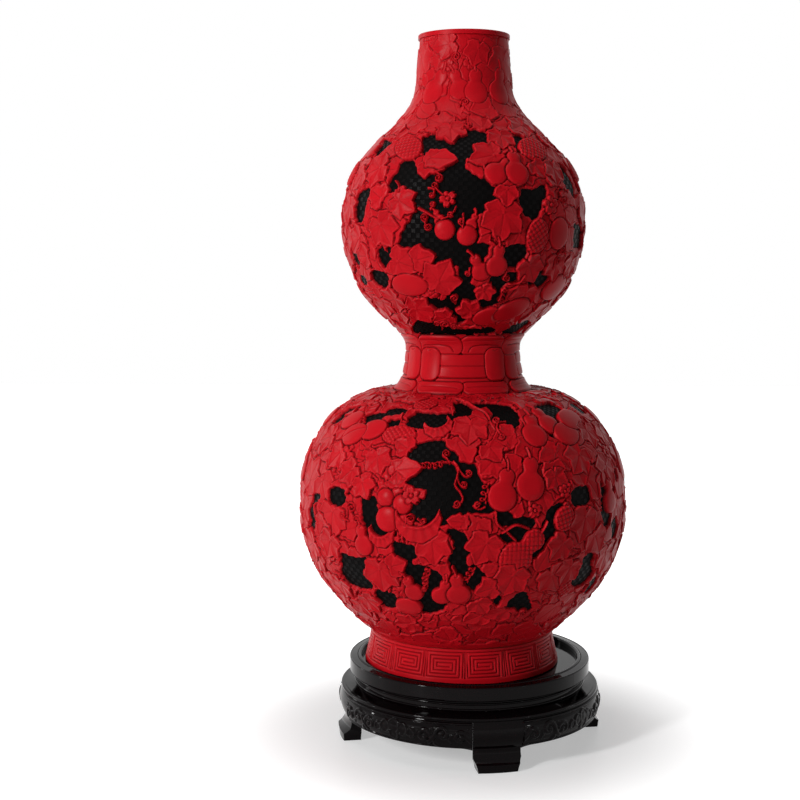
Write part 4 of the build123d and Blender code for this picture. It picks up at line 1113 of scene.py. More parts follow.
# Springs: two ends and the most loops. Vines: places and half width. Curls: place, size, turn, hand and tail
LOWER_TENDRILS = (
    ("spring", (-14.2, 167.5), (-6.5, 169.5), 6),
    ("vine", ((-6.5, 170.5), (-4, 171), (-2.2, 168.5), (-1.4, 164)), 0.64),
    ("vine", ((-3.0, 171.5), (-1.2, 166.5), (-1.6, 160), (-2.2, 154), (-0.6, 149), (0.3, 144),
              (-0.6, 140)), 0.64),
    ("curl", -1.6, 140.2, 2.6, 40, -1, 0),
    ("vine", ((-1.4, 166.5), (0.0, 162.6), (1.2, 160.2), (2.6, 160.2)), 0.6),
    ("curl", 2.3, 162.4, 2.3, 300, 1, 0),
    ("vine", ((-1.6, 161), (-1.2, 156.5), (0.2, 152.5), (1.2, 152)), 0.6),
    ("curl", 0.7, 154.0, 2.2, 320, 1, 0),
    ("vine", ((7.4, 138), (6.0, 136.6), (4.6, 137.2), (3.8, 139)), 0.64),
    ("curl", 5.0, 139.4, 2.2, 200, -1, 0),
    ("spring", (7.8, 155), (6.9, 141), 5),
    ("curl", -5.6, 177.6, 2.8, 60, 1, 6.0),
    ("curl", -16.6, 128.4, 3.4, 10, 1, 4.0),
    ("curl", -12.4, 127.2, 2.0, 30, -1, 3.0),
    ("spring", (-11.3, 91.5), (-13.0, 76), 5),
    ("curl", -12.9, 73.6, 1.9, 100, 1, 0),
    ("spring", (3.6, 93), (1.2, 81), 4),
    ("curl", 15.0, 206.5, 3.2, 120, 1, 5.0),
    ("vine", ((15.5, 204), (14.2, 199), (14.8, 194), (16, 191.5)), 0.64),
    ("curl", 15.4, 190.8, 2.4, 20, -1, 0),
    ("curl", -39, 132, 4.2, 20, 1, 6.0),
    ("curl", -36.5, 124, 3.0, 200, -1, 5.0),
    ("curl", -42.5, 125, 2.6, 100, 1, 5.0),
    ("curl", 25.5, 48, 3.4, 0, 1, 5.0),
    ("curl", 31, 45, 3.0, 90, -1, 5.0),
    ("vine", ((10.8, 134), (11.3, 126), (14.5, 119.5), (17.5, 113)), 0.96),
    ("vine", ((13.0, 119), (17.5, 124), (22, 121)), 0.88),
    ("vine", ((2.4, 230), (6, 222), (10.5, 215), (12, 208)), 0.96),
)

UPPER_TENDRILS = (
    ("curl", -11.6, 430, 3.0, 250, 1, 4.0),
    ("curl", -13.2, 424, 2.7, 60, -1, 3.0),
    ("curl", -14.2, 417, 2.0, 200, 1, 3.0),
    ("curl", -13.8, 410, 2.0, 120, -1, 3.0),
    ("vine", ((-12.4, 422), (-10.5, 419), (-9.0, 417)), 0.64),
    ("vine", ((-20, 407), (-16.5, 404), (-13.2, 401), (-11.0, 399)), 0.96),
    ("curl", -17.2, 400.6, 2.8, 60, 1, 4.0),
    ("curl", -15.6, 393.6, 2.8, 330, -1, 4.0),
    ("vine", ((-9.5, 399), (-6.5, 401), (-4.2, 404.5), (-3.2, 408)), 0.56),
    ("curl", -5.6, 402.6, 2.0, 140, 1, 0),
    ("curl", -0.8, 397.5, 2.0, 60, 1, 3.0),
    ("vine", ((-0.2, 393), (0.2, 398), (0.0, 403)), 0.56),
    ("vine", ((-33, 428), (-30.8, 424), (-30.2, 420)), 0.72),
    ("curl", 22, 355, 2.7, 330, -1, 4.0),
    ("curl", 22.2, 344, 2.3, 60, 1, 3.0),
    ("curl", 22, 335.6, 2.3, 330, -1, 4.0),
    ("vine", ((31, 354), (28, 347), (24.5, 345), (22, 346.5)), 0.8),
    ("vine", ((31.5, 357), (29, 351), (24, 350)), 0.8),
    ("curl", 2.2, 358.5, 1.9, 200, 1, 3.0),
    ("curl", -4.5, 337.5, 3.0, 60, 1, 3.0),
    ("curl", -13, 310.5, 3.6, 20, 1, 5.0),
    ("curl", -6.6, 307.5, 2.8, 200, -1, 4.0),
    ("curl", -19, 311, 2.6, 200, -1, 4.0),
    ("curl", -9, 540, 3.4, 60, 1, 4.0),
    ("curl", 1.5, 505, 3.0, 0, 1, 4.0),
    ("curl", 3.0, 481, 3.0, 90, -1, 4.0),
    ("curl", 51, 369, 3.6, 20, 1, 5.0),
    ("curl", 53, 376, 3.0, 200, -1, 5.0),
    ("curl", 52, 413, 3.0, 100, 1, 4.0),
)


def carve_motif(relief, row, mirror=None):
    """Lays one main motif, or its mirror image."""
    kind, azimuth, along, size, turn, base = row[:6]
    more = row[6] if len(row) > 6 else {}
    azimuth, along = placed((azimuth, along), mirror)
    if mirror:
        turn = 180 - turn
    where = (relief, azimuth, along)
    phase = azimuth * 0.7 + along
    tilt = (0.5 * math.sin(phase), 0.5 * math.cos(phase * 1.3))
    if kind in LEAVES:
        leaf(*where, size * 1.12, turn, base, kind, tilt=tilt, phase=phase, **more)
    elif kind == "gourd":
        gourd(*where, size, turn, base, 0.75)
    elif kind == "net_gourd":
        gourd(*where, size, turn, base, 0.8, waist=0.66, net=4.6)
    elif kind == "ball":
        round_fruit(*where, size, size, turn, base, CREST - base, flat=False)
    elif kind == "net":
        round_fruit(*where, size, more["wide"], turn, base, 0.8, net=4.4)
    elif kind == "fruit":
        round_fruit(*where, size, more["wide"], turn, base, 0.8, seam=more.get("seam", False))
    elif kind == "blossom":
        blossom(*where, size, turn, base)
    elif kind == "crescent":
        crescent(*where, size, turn, base, **more)


def carve_tendril(relief, row, mirror=None):
    """Lays one tendril, or its mirror image."""
    kind = row[0]
    if kind == "spring":
        spring(relief, placed(row[1], mirror), placed(row[2], mirror), row[3])
    elif kind == "vine":
        vine(relief, [placed(place, mirror) for place in row[1]], row[2])
    else:
        azimuth, along, size, turn, hand, tail = row[1:]
        if mirror:
            turn, hand = 180 - turn, -hand
        curl(relief, *placed((azimuth, along), mirror), size, turn, hand, tail)


def carve_globe(relief, openings, side_openings, motifs, side_motifs, tendrils, seed, low, high):
    """Fills a globe: small motifs first, then the openings, the main motifs and the tendrils."""
    for number, layer in enumerate(SMALL_LAYERS):
        strew(relief, seed + number, low, high, *layer)
    carve_openings(relief, openings, side_openings)
    for row in side_motifs:
        carve_motif(relief, row)
        carve_motif(relief, row, LEFT)
    for mirror in (None, BACK):
        for row in motifs:
            carve_motif(relief, row, mirror)
        for row in tendrils:
            carve_tendril(relief, row, mirror)


# Meshes

# A shell's inner side keeps one row of points in so many: the coats', and the ground's
SKIN_EVERY, GROUND_SKIN_EVERY = 12, 8

# Where a shell lies in the texture: outer and inner side, lower and upper edge, and its two ends
SIDE_U, OUTER_V, INNER_V = 0.97, (0.12, 1.0), (0.10, 0.02)
LOW_EDGE_V, HIGH_EDGE_V = (0.118, 0.104), (0.002, 0.016)
END_U, END_INNER, END_OUTER = (0.975, 0.9875), 0.001, 0.009

# The depth that counts as a full hollow, which is painted in full shade, or a full ridge: close by, and
# broad, which counts in part
NEAR_REACH, NEAR_DEPTH = 2, 0.9
BROAD_REACH, BROAD_DEPTH, BROAD_SHARE = 4, 2.6, 0.6

# Triangles above which a band is cut into sectors
MOST_TRIANGLES = 180000


def ring_places(r, z, angle, shift=0.0):
    """Places on rings, in millimetres, from the rows' radii and levels and the columns' azimuths."""
    return np.stack([r * np.sin(angle) + shift, -r * np.cos(angle), z + 0 * angle], -1)


def relief_points(relief, ground):
    """Places of a relief's points. ground is the depth of its ground under the outline."""
    lift = relief.h - ground
    r = relief.r[:, None] + lift * relief.out_r[:, None]
    z = relief.z[:, None] + lift * relief.out_z[:, None]
    return ring_places(r, z, relief.angle, relief.shift)


def skin_points(relief, depth):
    """Places of the smooth inner skin at a depth under the outline."""
    r = relief.r - depth * relief.out_r
    z = relief.z - depth * relief.out_z
    return ring_places(r[:, None], z[:, None], relief.angle, relief.shift)


def grid_normals(points, closed):
    """Outward directions of a grid of points, closed round its columns or not."""
    if closed:
        across = np.roll(points, -1, axis=1) - np.roll(points, 1, axis=1)
    else:
        across = np.gradient(points, axis=1)
    normal = np.cross(across, np.gradient(points, axis=0))
    return normal / np.maximum(np.linalg.norm(normal, axis=-1, keepdims=True), 1e-9)


def box_blur(field, reach):
    """Mean over a square of cells, wrapped round the columns."""
    for axis in (0, 1):
        total = np.zeros_like(field)
        for k in range(-reach, reach + 1):
            if axis == 1:
                total += np.roll(field, k, axis=1)
            else:
                total += field[np.clip(np.arange(len(field)) + k, 0, len(field) - 1)]
        field = total / (2 * reach + 1)
    return field


def face_corners(first, second, low, high, flip=False):
    """Point numbers of four-sided faces, from their columns' numbers and where their rows start."""
    order = [low + first, low + second, high + second, high + first]
    if flip:
        order = order[:1] + order[:0:-1]
    return np.stack(order, -1).reshape(-1, 4)


def face_uv(first, second, low, high, flip=False):
    """Texture places of the same faces, from the values of their columns and rows."""
    order = [(first, low), (second, low), (second, high), (first, high)]
    if flip:
        order = order[:1] + order[:0:-1]
    return np.stack([np.stack(np.broadcast_arrays(*pair), -1) for pair in order], -2).reshape(-1, 2)


def mesh_from(name, points, sizes, corners, uv, normals=None, marks=None, flags=None):
    """An object from arrays: points in millimetres, the size of each face, and the corners of all."""
    mesh = bpy.data.meshes.new(name)
    mesh.vertices.add(len(points))
    mesh.vertices.foreach_set("co", (np.asarray(points, np.float32) * MM).ravel())
    mesh.loops.add(len(corners))
    mesh.loops.foreach_set("vertex_index", np.asarray(corners, np.int32))
    mesh.polygons.add(len(sizes))
    starts = np.concatenate([[0], np.cumsum(sizes)[:-1]])
    mesh.polygons.foreach_set("loop_start", starts.astype(np.int32))
    mesh.polygons.foreach_set("use_smooth", np.ones(len(sizes), bool))
    if flags is not None:
        mesh.polygons.foreach_set("material_index", np.asarray(flags, np.int32))
    layer = mesh.uv_layers.new(name="OFBake")
    layer.data.foreach_set("uv", np.asarray(uv, np.float32).ravel())
    for key, values in (marks or {}).items():
        attribute = mesh.attributes.new(key, "FLOAT", "POINT")
        attribute.data.foreach_set("value", np.asarray(values, np.float32))
    mesh.update(calc_edges=True)
    mesh.validate()
    if normals is not None:
        mesh.normals_split_custom_set_from_vertices(np.asarray(normals, np.float32))
    obj = bpy.data.objects.new(name, mesh)
    bpy.context.scene.collection.objects.link(obj)
    return obj


def end_faces(rows, cols, keep):
    """Faces that close the two ends of an open shell, each from one kept row to the next."""
    inner_start = rows * cols
    for side, column in enumerate((0, cols - 1)):
        for number, (low, high) in enumerate(zip(keep[:-1], keep[1:])):
            fine = np.arange(low, high + 1)
            coarse = inner_start + np.array([number + 1, number]) * cols
            loop = np.concatenate([fine * cols, coarse]) + column
            u = np.full(len(loop), END_U[side] + END_OUTER)
            u[-2:] = END_U[side] + END_INNER
            v = np.concatenate([fine, [high, low]]) / (rows - 1)
            place = np.stack([u, v], -1)
            yield (loop, place) if side else (loop[::-1], place[::-1])


def shell(name, outer, inner, every=SKIN_EVERY, closed=False, normals=None, marks=None, flags=None):
    """A closed wall: a fine outer grid of points and a coarse inner one, joined all round.

    Rows run up and columns run with the azimuth. closed joins the last column to the first.
    """
    rows, cols = outer.shape[:2]
    keep = np.unique(np.concatenate([np.arange(0, rows - 1, every), [rows - 1]]))
    inner = inner[keep]
    inner_start = rows * cols
    outer_rows = np.arange(rows) * cols
    inner_rows = inner_start + np.arange(len(keep)) * cols
    left = np.arange(cols if closed else cols - 1)
    right = (left + 1) % cols
    faces = np.concatenate([
        face_corners(left, right, outer_rows[:-1, None], outer_rows[1:, None]),
        face_corners(left, right, inner_rows[:-1, None], inner_rows[1:, None], flip=True),
        face_corners(right, left, outer_rows[0], inner_rows[0]),
        face_corners(left, right, outer_rows[-1], inner_rows[-1]),
    ])
    u = np.linspace(0.0, SIDE_U, cols + 1)
    left_u, right_u = u[left], u[left + 1]
    outer_v = np.linspace(*OUTER_V, rows)[:, None]
    inner_v = np.interp(keep, [0, rows - 1], INNER_V)[:, None]
    uv = [
        face_uv(left_u, right_u, outer_v[:-1], outer_v[1:]),
        face_uv(left_u, right_u, inner_v[:-1], inner_v[1:], flip=True),
        face_uv(right_u, left_u, *LOW_EDGE_V),
        face_uv(left_u, right_u, *HIGH_EDGE_V),
    ]
    sizes = [4] * len(faces)
    corners = [faces.ravel()]
    if not closed:
        for loop, place in end_faces(rows, cols, keep):
            sizes.append(len(loop))
            corners.append(loop)
            uv.append(place)
    if flags is not None:
        flags = np.concatenate([flags.ravel(), np.zeros(len(sizes) - flags.size)])
    if normals is not None:
        normals = np.concatenate([normals.reshape(-1, 3), -grid_normals(inner, closed).reshape(-1, 3)])
    inner_marks = np.zeros(len(keep) * cols)
    marks = {key: np.concatenate([values.ravel(), inner_marks]) for key, values in (marks or {}).items()}
    points = np.concatenate([outer.reshape(-1, 3), inner.reshape(-1, 3)])
    return mesh_from(name, points, sizes, np.concatenate(corners), np.concatenate(uv), normals, marks, flags)


def settle(piece, body, finishes, nodes=()):
    """Gives a piece its finishes and its body, and hides the nodes that it stands for."""
    for key in finishes:
        piece.data.materials.append(material_of(key))
    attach(piece, body)
    if nodes:
        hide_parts(*nodes)


# Vase pieces


def step_of(sizes):
    return sizes.fineness * 1.0


def shading_marks(relief):
    """How deep each point lies under its neighbours, for the painted shade in the cuts, and how far it
    stands over them, for the rubbed ridges.
    """
    near = box_blur(relief.h, NEAR_REACH)
    broad = box_blur(near, BROAD_REACH)
    # Painted shade: the deeper a point lies under the mean round it, the darker the finish paints it
    hollow_shade = np.clip((near - relief.h) / NEAR_DEPTH, 0, 1)
    hollow_shade = hollow_shade + np.clip((broad - relief.h) / BROAD_DEPTH, 0, BROAD_SHARE)
    return {"hollow_shade": np.clip(hollow_shade, 0, 1), "ridge": np.clip((relief.h - near) / NEAR_DEPTH, 0, 1)}


def red_coat(name, relief, nodes, most=MOST_TRIANGLES):
    """Makes a carved band of the red coat, as one ring or in sectors of a workable size."""
    points = relief_points(relief, relief.depth)
    inner = skin_points(relief, relief.depth - SKIN)
    normals = grid_normals(points, True)
    marks = shading_marks(relief)
    triangles = 2 * relief.count * relief.rows * (1 + 1 / SKIN_EVERY)
    sectors = max(1, math.ceil(triangles / most))
    if sectors == 1:
        pieces = [shell(name, points, inner, closed=True, normals=normals, marks=marks)]
    else:
        bounds = np.linspace(0, relief.count, sectors + 1).astype(int)
        pieces = []
        for number in range(sectors):
            index = np.arange(bounds[number], bounds[number + 1] + 1) % relief.count
            pieces.append(shell(
                name + "_" + str(number + 1), points[:, index], inner[:, index], normals=normals[:, index],
                marks={key: values[:, index] for key, values in marks.items()},
            ))
    for piece in pieces:
        settle(piece, "vase", ["red"], nodes)


def lower_coat():
    """Carved red coat of the lower globe."""
    sizes = bpy.context.scene.vase_sizes
    outline = Outline(vase_outline())
    relief = Relief(outline, 0.0, outline.along(SASH_LOW_LEVEL - 6), step_of(sizes), BED, sizes.depth)
    carve_globe(
        relief, LOWER_OPENINGS, LOWER_SIDE_OPENINGS, LOWER_MOTIFS, LOWER_SIDE_MOTIFS, LOWER_TENDRILS,
        sizes.seed, *LOWER_CARVED,
    )
    # Plain hollow over the foot, up to where the carving starts
    wall = np.clip(0.5 - (relief.s[:, None] - PLAIN_END) / PLAIN_WALL, 0, 1)
    relief.h = relief.h * (1 - wall) + PLAIN_RISE * wall
    red_coat("carved_coat_lower", relief, ["coat_lower_globe"])


def upper_coat():
    """Carved red coat of the upper globe and the neck."""
    sizes = bpy.context.scene.vase_sizes
    outline = Outline(vase_outline())
    low, high = outline.along(SASH_HIGH_LEVEL), outline.along(MOUTH_LEVEL)
    relief = Relief(outline, low, high, step_of(sizes), BED, sizes.depth)
    carve_globe(
        relief, UPPER_OPENINGS, UPPER_SIDE_OPENINGS, UPPER_MOTIFS, UPPER_SIDE_MOTIFS, UPPER_TENDRILS,
        sizes.seed + 10, *UPPER_CARVED,
    )
    # The neck is carved shallower, its faces almost flush with the lip
    flush = np.clip((relief.s - NECK_START) / NECK_BLEND, 0, 1)[:, None] * NECK_FLUSH
    relief.h = np.where(relief.h > 0, relief.h + flush * (sizes.depth - NECK_STEP - relief.h), relief.h)
    red_coat("carved_coat_upper", relief, ["coat_upper_globe", "coat_neck"])


def plate(relief, azimuth, along, width, height, corner, top, crown):
    """A raised plate, as high as top, with round corners and a face that falls by crown to its ends."""
    cells, u, v = relief.cells(azimuth, along, max(width, height) * 0.75 + 3)
    out_u = np.maximum(np.abs(u) - width / 2 + corner, 0)
    out_v = np.maximum(np.abs(v) - height / 2 + corner, 0)
    edge = np.hypot(out_u, out_v) - corner
    face = top - crown * np.clip(np.abs(u) / (width / 2), 0, 1) ** 3
    relief.lay(cells, edge, face - rounding(edge, 0.5, 0.8), groove=1.0)
    return cells, u, v, edge


def score(relief, cells, u, v, points, depth, width=0.7):
    """Cuts a fine line through places on a plate."""
    near = line_distance(u, v, smooth_line(points, 0.4))[0]
    relief.h[cells] = np.maximum(relief.h[cells] - depth * np.clip(1 - near / width, 0, 1), LEAST)


def sash_quarter(relief, outline, middle):
    """A stretch of the sash: belt, ribbon loops over and under it, and a knot beside it."""
    over, under = outline.along(OVER_BELT_LEVEL), outline.along(UNDER_BELT_LEVEL)
    belt, knot = outline.along(BELT_LEVEL), outline.along(KNOT_LEVEL)
    # Ribbon loops over the belt: the right one tucks under the round end of the left one
    for side, shift in ((1, 21.0), (-1, -24.0)):
        loop = plate(relief, middle + shift, over, 38.0, 15.0, 6.0, 2.9, 0.1)[:3]
        score(relief, *loop, ((-12 * side, -4.5), (-9 * side, -1.0), (0, 0.2), (13 * side, -0.6)), 0.9)
        score(relief, *loop, ((-16, 3.6), (-6, 4.2), (6, 4.0), (16, 4.4)), 0.35)
    # Ribbon loops under the belt
    for shift in (22.0, -21.0):
        loop = plate(relief, middle + shift, under, 39.0, 9.6, 4.6, 2.9, 0.2)[:3]
        score(relief, *loop, ((-15, 0.6), (-4, 1.1), (8, 0.7), (15, -0.4)), 0.4)
    # The belt itself, with a crease along its middle
    cells, u, v, edge = plate(relief, middle, belt, 40.0, 17.2, 1.5, 3.0, 0.0)
    pleats = 0.35 * np.cos(np.clip(np.abs(v) / 4.3 - 1, -1, 1) * math.pi / 2) - 0.35
    relief.h[cells] += pleats * np.clip(-edge / 0.5, 0, 1)
    score(relief, cells, u, v, ((-19, 0), (0, 0.2), (19, 0)), 0.5, 0.9)
    # The knot is a pair of standing loops
    for shift in (33.6, 56.6):
        loop = plate(relief, middle + shift, knot, 18.2, 24.6, 6.5, 3.4, 0.7)[:3]
        score(relief, *loop, ((-2, 11.0), (-0.5, 10), (1.5, 11)), 0.4)


def sash_coat():
    """Red coat of the waist: a pleated belt with four knots, and ribbon loops over and under it."""
    sizes = bpy.context.scene.vase_sizes
    outline = Outline(vase_outline())
    low, high = outline.along(SASH_LOW_LEVEL - 6), outline.along(SASH_HIGH_LEVEL)
    relief = Relief(outline, low, high, step_of(sizes) * 0.8, 2.0, sizes.depth)
    strew(relief, sizes.seed + 20, low + 1.0, outline.along(279.0), 1.8, 13.0, 13.0)
    for k in range(4):
        sash_quarter(relief, outline, 90.0 * k)
    red_coat("carved_coat_sash", relief, ["coat_waist_sash"])


def fret_path(width, height, pitch):
    """A rectangular spiral path from its outside in, turning clockwise."""
    x0, x1, y0, y1 = -width / 2, width / 2, -height / 2, height / 2
    path = [(x0, y0), (x0, y1)]
    while True:
        path.append((x1, y1))
        if y1 - y0 < pitch * 0.6:
            break
        path.append((x1, y0))
        x0 += pitch
        y1 -= pitch
        if x1 - x0 < pitch:
            break
        path.append((x0, y0))
        y0 += pitch
        x1 -= pitch
        if y1 - y0 < pitch * 0.4:
            break
        path.append((x0, y1))
    return path


def foot_coat():
    """Red foot band, cut with a key fret between plain borders."""
    sizes = bpy.context.scene.vase_sizes
    outline = Outline(foot_outline())
    face = sizes.depth - 0.2
    relief = Relief(outline, 0.0, outline.length[-1], step_of(sizes) * 0.7, face, sizes.depth)
    width = 2 * math.pi * FRET_RADIUS / FRET_PANELS
    path = fret_path(width - FRET_GAP, FRET_HEIGHT, FRET_PITCH)
    for k in range(FRET_PANELS):
        cells, x, y = relief.cells(FRET_TURN + 360 / FRET_PANELS * k, FRET_ALONG, 17.5)
        hand = 1 if k % 2 else -1
        # Upright lines part the panels, and stop short of the band's plain borders
        upright = np.abs(np.abs(x) - width / 2) + 20.0 * (np.abs(y) > FRET_HEIGHT / 2 + 0.6)
        near = np.minimum(path_distance(x * hand, y, path), upright)
        cut = np.clip(1.3 - near / FRET_CUT, 0, 1)
        relief.h[cells] = np.minimum(relief.h[cells], face - FRET_DEPTH * cut)
    red_coat("fret_coat_foot", relief, ["coat_foot_band"], FRET_MOST_TRIANGLES)


def diaper(name, node, low_level, high_level, tiles):
    """Black ground in small squares, every other one raised and smooth."""
    depth = bpy.context.scene.vase_sizes.depth
    outline = Outline(vase_outline())
    low, high = outline.along(low_level), outline.along(high_level)
    # Lengths along at which the rows of squares start, so that they stay square as the girth changes
    fine = np.linspace(low, high, 4000)
    radius = outline.at(fine)[0] - depth
    turns = np.concatenate([[0], np.cumsum((fine[1] - fine[0]) / radius[:-1])])
    rows = int(round(turns[-1] * tiles / (2 * math.pi)))
    starts = np.interp(np.linspace(0, turns[-1], rows + 1), turns, fine)
    margins = TILE_MARGIN * np.diff(starts)
    s = np.sort(np.concatenate([starts[:-1] + margins, starts[1:] - margins]))
    s[0], s[-1] = low, high
    step = 2 * math.pi / tiles
    angle = np.arange(tiles) * step - math.pi
    angle = np.sort(np.concatenate([angle + TILE_MARGIN * step, angle + (1 - TILE_MARGIN) * step]))
    row, column = np.arange(len(s)) // 2, np.arange(len(angle)) // 2
    raised = (row[:, None] + column[None, :]) % 2
    r, z, out_r, out_z = (values[:, None] for values in outline.at(s))
    lift = TILE_RISE * raised - GROUND_GAP - depth
    deep = -GROUND_GAP - depth - GROUND_THICK
    outer = ring_places(r + lift * out_r, z + lift * out_z, angle)
    inner = ring_places(r + deep * out_r, z + deep * out_z, angle)
    smooth = raised[:-1, :] * (row[:-1] == row[1:])[:, None] * (column == np.roll(column, -1))[None, :]
    piece = shell(name, outer, inner, every=GROUND_SKIN_EVERY, closed=True, flags=1 - smooth)
    piece.data.polygons.foreach_set("use_smooth", np.zeros(len(piece.data.polygons), bool))
    settle(piece, "vase", ["ground_plain", "ground_cut"], [node])


# Stand pieces


def apron_line():
    """Radius and level up the bulging face of the stand's apron."""
    return smooth_line([(99.6, 17.2), (102.03, 22.12), (103.4, 29.5), (101.2, 37.9)], 0.5)


def lobed_panel(relief, azimuth, along):
    """A plate of round lobes with a raised rim, as a cloud collar seen from its side."""
    reach = max(abs(x) + r for x, y, r in PANEL_LOBES) + 3
    cells, u, v = relief.cells(azimuth, along, reach)
    edge = np.full(u.shape, FAR)
    for x, y, r in PANEL_LOBES:
        edge = np.minimum(edge, np.hypot(u - x, v - y) - r)
    rim = np.exp(-((edge + 1.2) / 0.8) ** 2)
    relief.lay(cells, edge, 1.0 + 0.9 * rim + 0.5 * np.clip(-edge / 6.0, 0, 1), groove=0.7, drop=0.4)


def apron_scrolls(relief, azimuth, middle):
    """Scrolls to both sides of an apron's panel, each over a small leaf."""
    for side in (-1, 1):
        for number, (away, lift, size, turn) in enumerate(SCROLLS):
            place = azimuth + side * math.degrees(away / APRON_RADIUS)
            leaf_place = place + side * math.degrees(6.0 / APRON_RADIUS)
            leaf(relief, leaf_place, middle - lift * 2.2, 10.5, 90 - side * 80, 1.0, "blade", 0.2)
            hand = side if number % 2 else -side
            turn = turn if side > 0 else 180 - turn
            curl(relief, place, middle + lift, size, turn, hand, 9.0,
                 width=1.9, crest=APRON_HEIGHT, turns=1.05)


def apron_carving():
    """Low carving on the stand's four aprons: a lobed panel between scrolls, inside two fine beads."""
    outline = Outline(apron_line())
    low, high = APRON_MARGIN, outline.length[-1] - APRON_MARGIN
    relief = Relief(outline, low, high, APRON_STEP, APRON_BED, APRON_HEIGHT, STAND_X)
    middle = (low + high) / 2
    azimuths = [STAND_TURN + 45.0 + 90.0 * k for k in range(4)]
    for azimuth in azimuths:
        apron_scrolls(relief, azimuth, middle)
        lobed_panel(relief, azimuth, middle)
    for edge in (low + BEAD_PLACE, high - BEAD_PLACE):
        bead = np.clip(1 - ((relief.s[:, None] - edge) / BEAD_WIDTH) ** 2, 0, 1)
        relief.h = np.maximum(relief.h, APRON_BED + BEAD_HEIGHT * np.sqrt(bead) * (bead > 0))
    points = relief_points(relief, APRON_GROUND)
    inner = skin_points(relief, APRON_SKIN)
    normals = grid_normals(points, True)
    for number, azimuth in enumerate(azimuths):
        start = int(round((math.radians(azimuth - APRON_SPREAD / 2) + math.pi) / relief.pitch))
        count = int(round(math.radians(APRON_SPREAD) / relief.pitch))
        index = np.arange(start, start + count + 1) % relief.count
        name = "apron_carving_" + str(number + 1)
        piece = shell(name, points[:, index], inner[:, index], normals=normals[:, index])
        settle(piece, "stand", ["stand"])


def edge_bead(name, radius, level, thick, around=360, section=12):
    """A fine rounded edge round the stand's tray, which catches the light as a thin line."""
    columns = np.arange(around)
    rows = np.arange(section)[:, None]
    slope = rows * 2 * math.pi / section
    angle = columns * 2 * math.pi / around
    points = ring_places(radius + thick * np.cos(slope), level + thick * np.sin(slope), angle, STAND_X)
    next_rows = (rows + 1) % section * around
    faces = face_corners(columns, (columns + 1) % around, rows * around, next_rows)
    places = face_uv(columns / around, (columns + 1) / around, rows / section, (rows + 1) / section)
    piece = mesh_from(name, points.reshape(-1, 3), [4] * len(faces), faces.ravel(), places)
    settle(piece, "stand", ["stand"])


# Stage

# Place, the point that it faces, width and height, all in metres, and power in watts
LAMPS = {
    "key_light": ((-1.18, -1.16, 0.85), (0, 0, 0.30), (0.18, 0.5), 20.5),
    "top_light": ((-0.2, -0.2, 1.6), (0, 0, 0.25), (0.9, 0.7), 4.5),
    "left_rim_light": ((-1.3, 0.7, 0.6), (0, 0, 0.3), (0.14, 0.9), 2.6),
    # Narrow lamps, seen mostly as glints on the gloss lacquer
    "left_glint_light": ((-1.3, -0.05, 0.12), (0, 0, 0.03), (0.05, 0.1), 0.8),
    "front_glint_light": ((-0.62, -1.2, 0.1), (0, 0, 0.03), (0.1, 0.05), 0.8),
    "right_glint_light": ((1.0, -0.85, 0.12), (0, 0, 0.03), (0.05, 0.06), 0.35),
    # A thin lamp along the right side
    "right_rim_light": ((1.3, 0.35, 0.7), (0, 0, 0.2), (0.02, 0.4), 0.6),
}

# The floor lies this far under the feet, and is plain within one distance and white beyond another
FLOOR_GAP, FLOOR_HALF, WASH_START, WASH_END = 0.0002, 3.0, 0.11, 0.26
SURROUND_LIGHT = 0.026

# Place in metres, look down and turn to the left in degrees, and lens in millimetres
CAMERA_PLACE, CAMERA_DIP, CAMERA_TURN, CAMERA_LENS = (0.0, -1.1355, 0.38103), 5.819, 2.481, 65.12


def seen_directly(tree):
    """One for rays from the camera, mirrors and glass, and zero for light on the object."""
    path = add(tree, "LightPath")
    seen = {0: path.outputs["Is Camera Ray"], 1: path.outputs["Is Glossy Ray"]}
    seen = add(tree, "Math", seen, operation="MAXIMUM").outputs[0]
    seen = {0: seen, 1: path.outputs["Is Transmission Ray"]}
    return add(tree, "Math", seen, operation="MAXIMUM").outputs[0]


def white_paper():
    """Matt white paper that keeps the shadow near the stand and washes out to white away from it."""
    material, tree, shader = finish("matt_white_paper")
    place = object_place(tree)
    tooth = add(tree, "TexNoise", {"Vector": place, "Scale": 300.0, "Detail": 2.0})
    colour = ramp(tree, tooth.outputs["Fac"], grey(0.62), grey(0.66))
    tree.links.new(colour, shader.inputs["Base Color"])
    shader.inputs["Roughness"].default_value = 0.5
    shader.inputs["Specular IOR Level"].default_value = 0.2
    away = add(tree, "VectorMath", {0: place}, operation="LENGTH").outputs["Value"]
    span = {"Value": away, "From Min": WASH_START, "From Max": WASH_END, "To Min": 0.42, "To Max": 1.0}
    wash = add(tree, "MapRange", span, interpolation_type="SMOOTHSTEP").outputs[0]
    glow = add(tree, "Math", {0: seen_directly(tree), 1: wash}, operation="MULTIPLY")
    tree.links.new(glow.outputs[0], shader.inputs["Emission Strength"])
    shader.inputs["Emission Color"].default_value = (1, 1, 1, 1)
    return material


def make_floor():
    """Lays the floor."""
    corners = [(x * FLOOR_HALF, y * FLOOR_HALF, 0) for x, y in ((-1, -1), (1, -1), (1, 1), (-1, 1))]
    mesh = bpy.data.meshes.new("floor")
    mesh.from_pydata(corners, [], [(0, 1, 2, 3)])
    floor = bpy.data.objects.new("floor", mesh)
    floor.location.z = -FLOOR_GAP
    bpy.context.scene.collection.objects.link(floor)
    mesh.materials.append(white_paper())


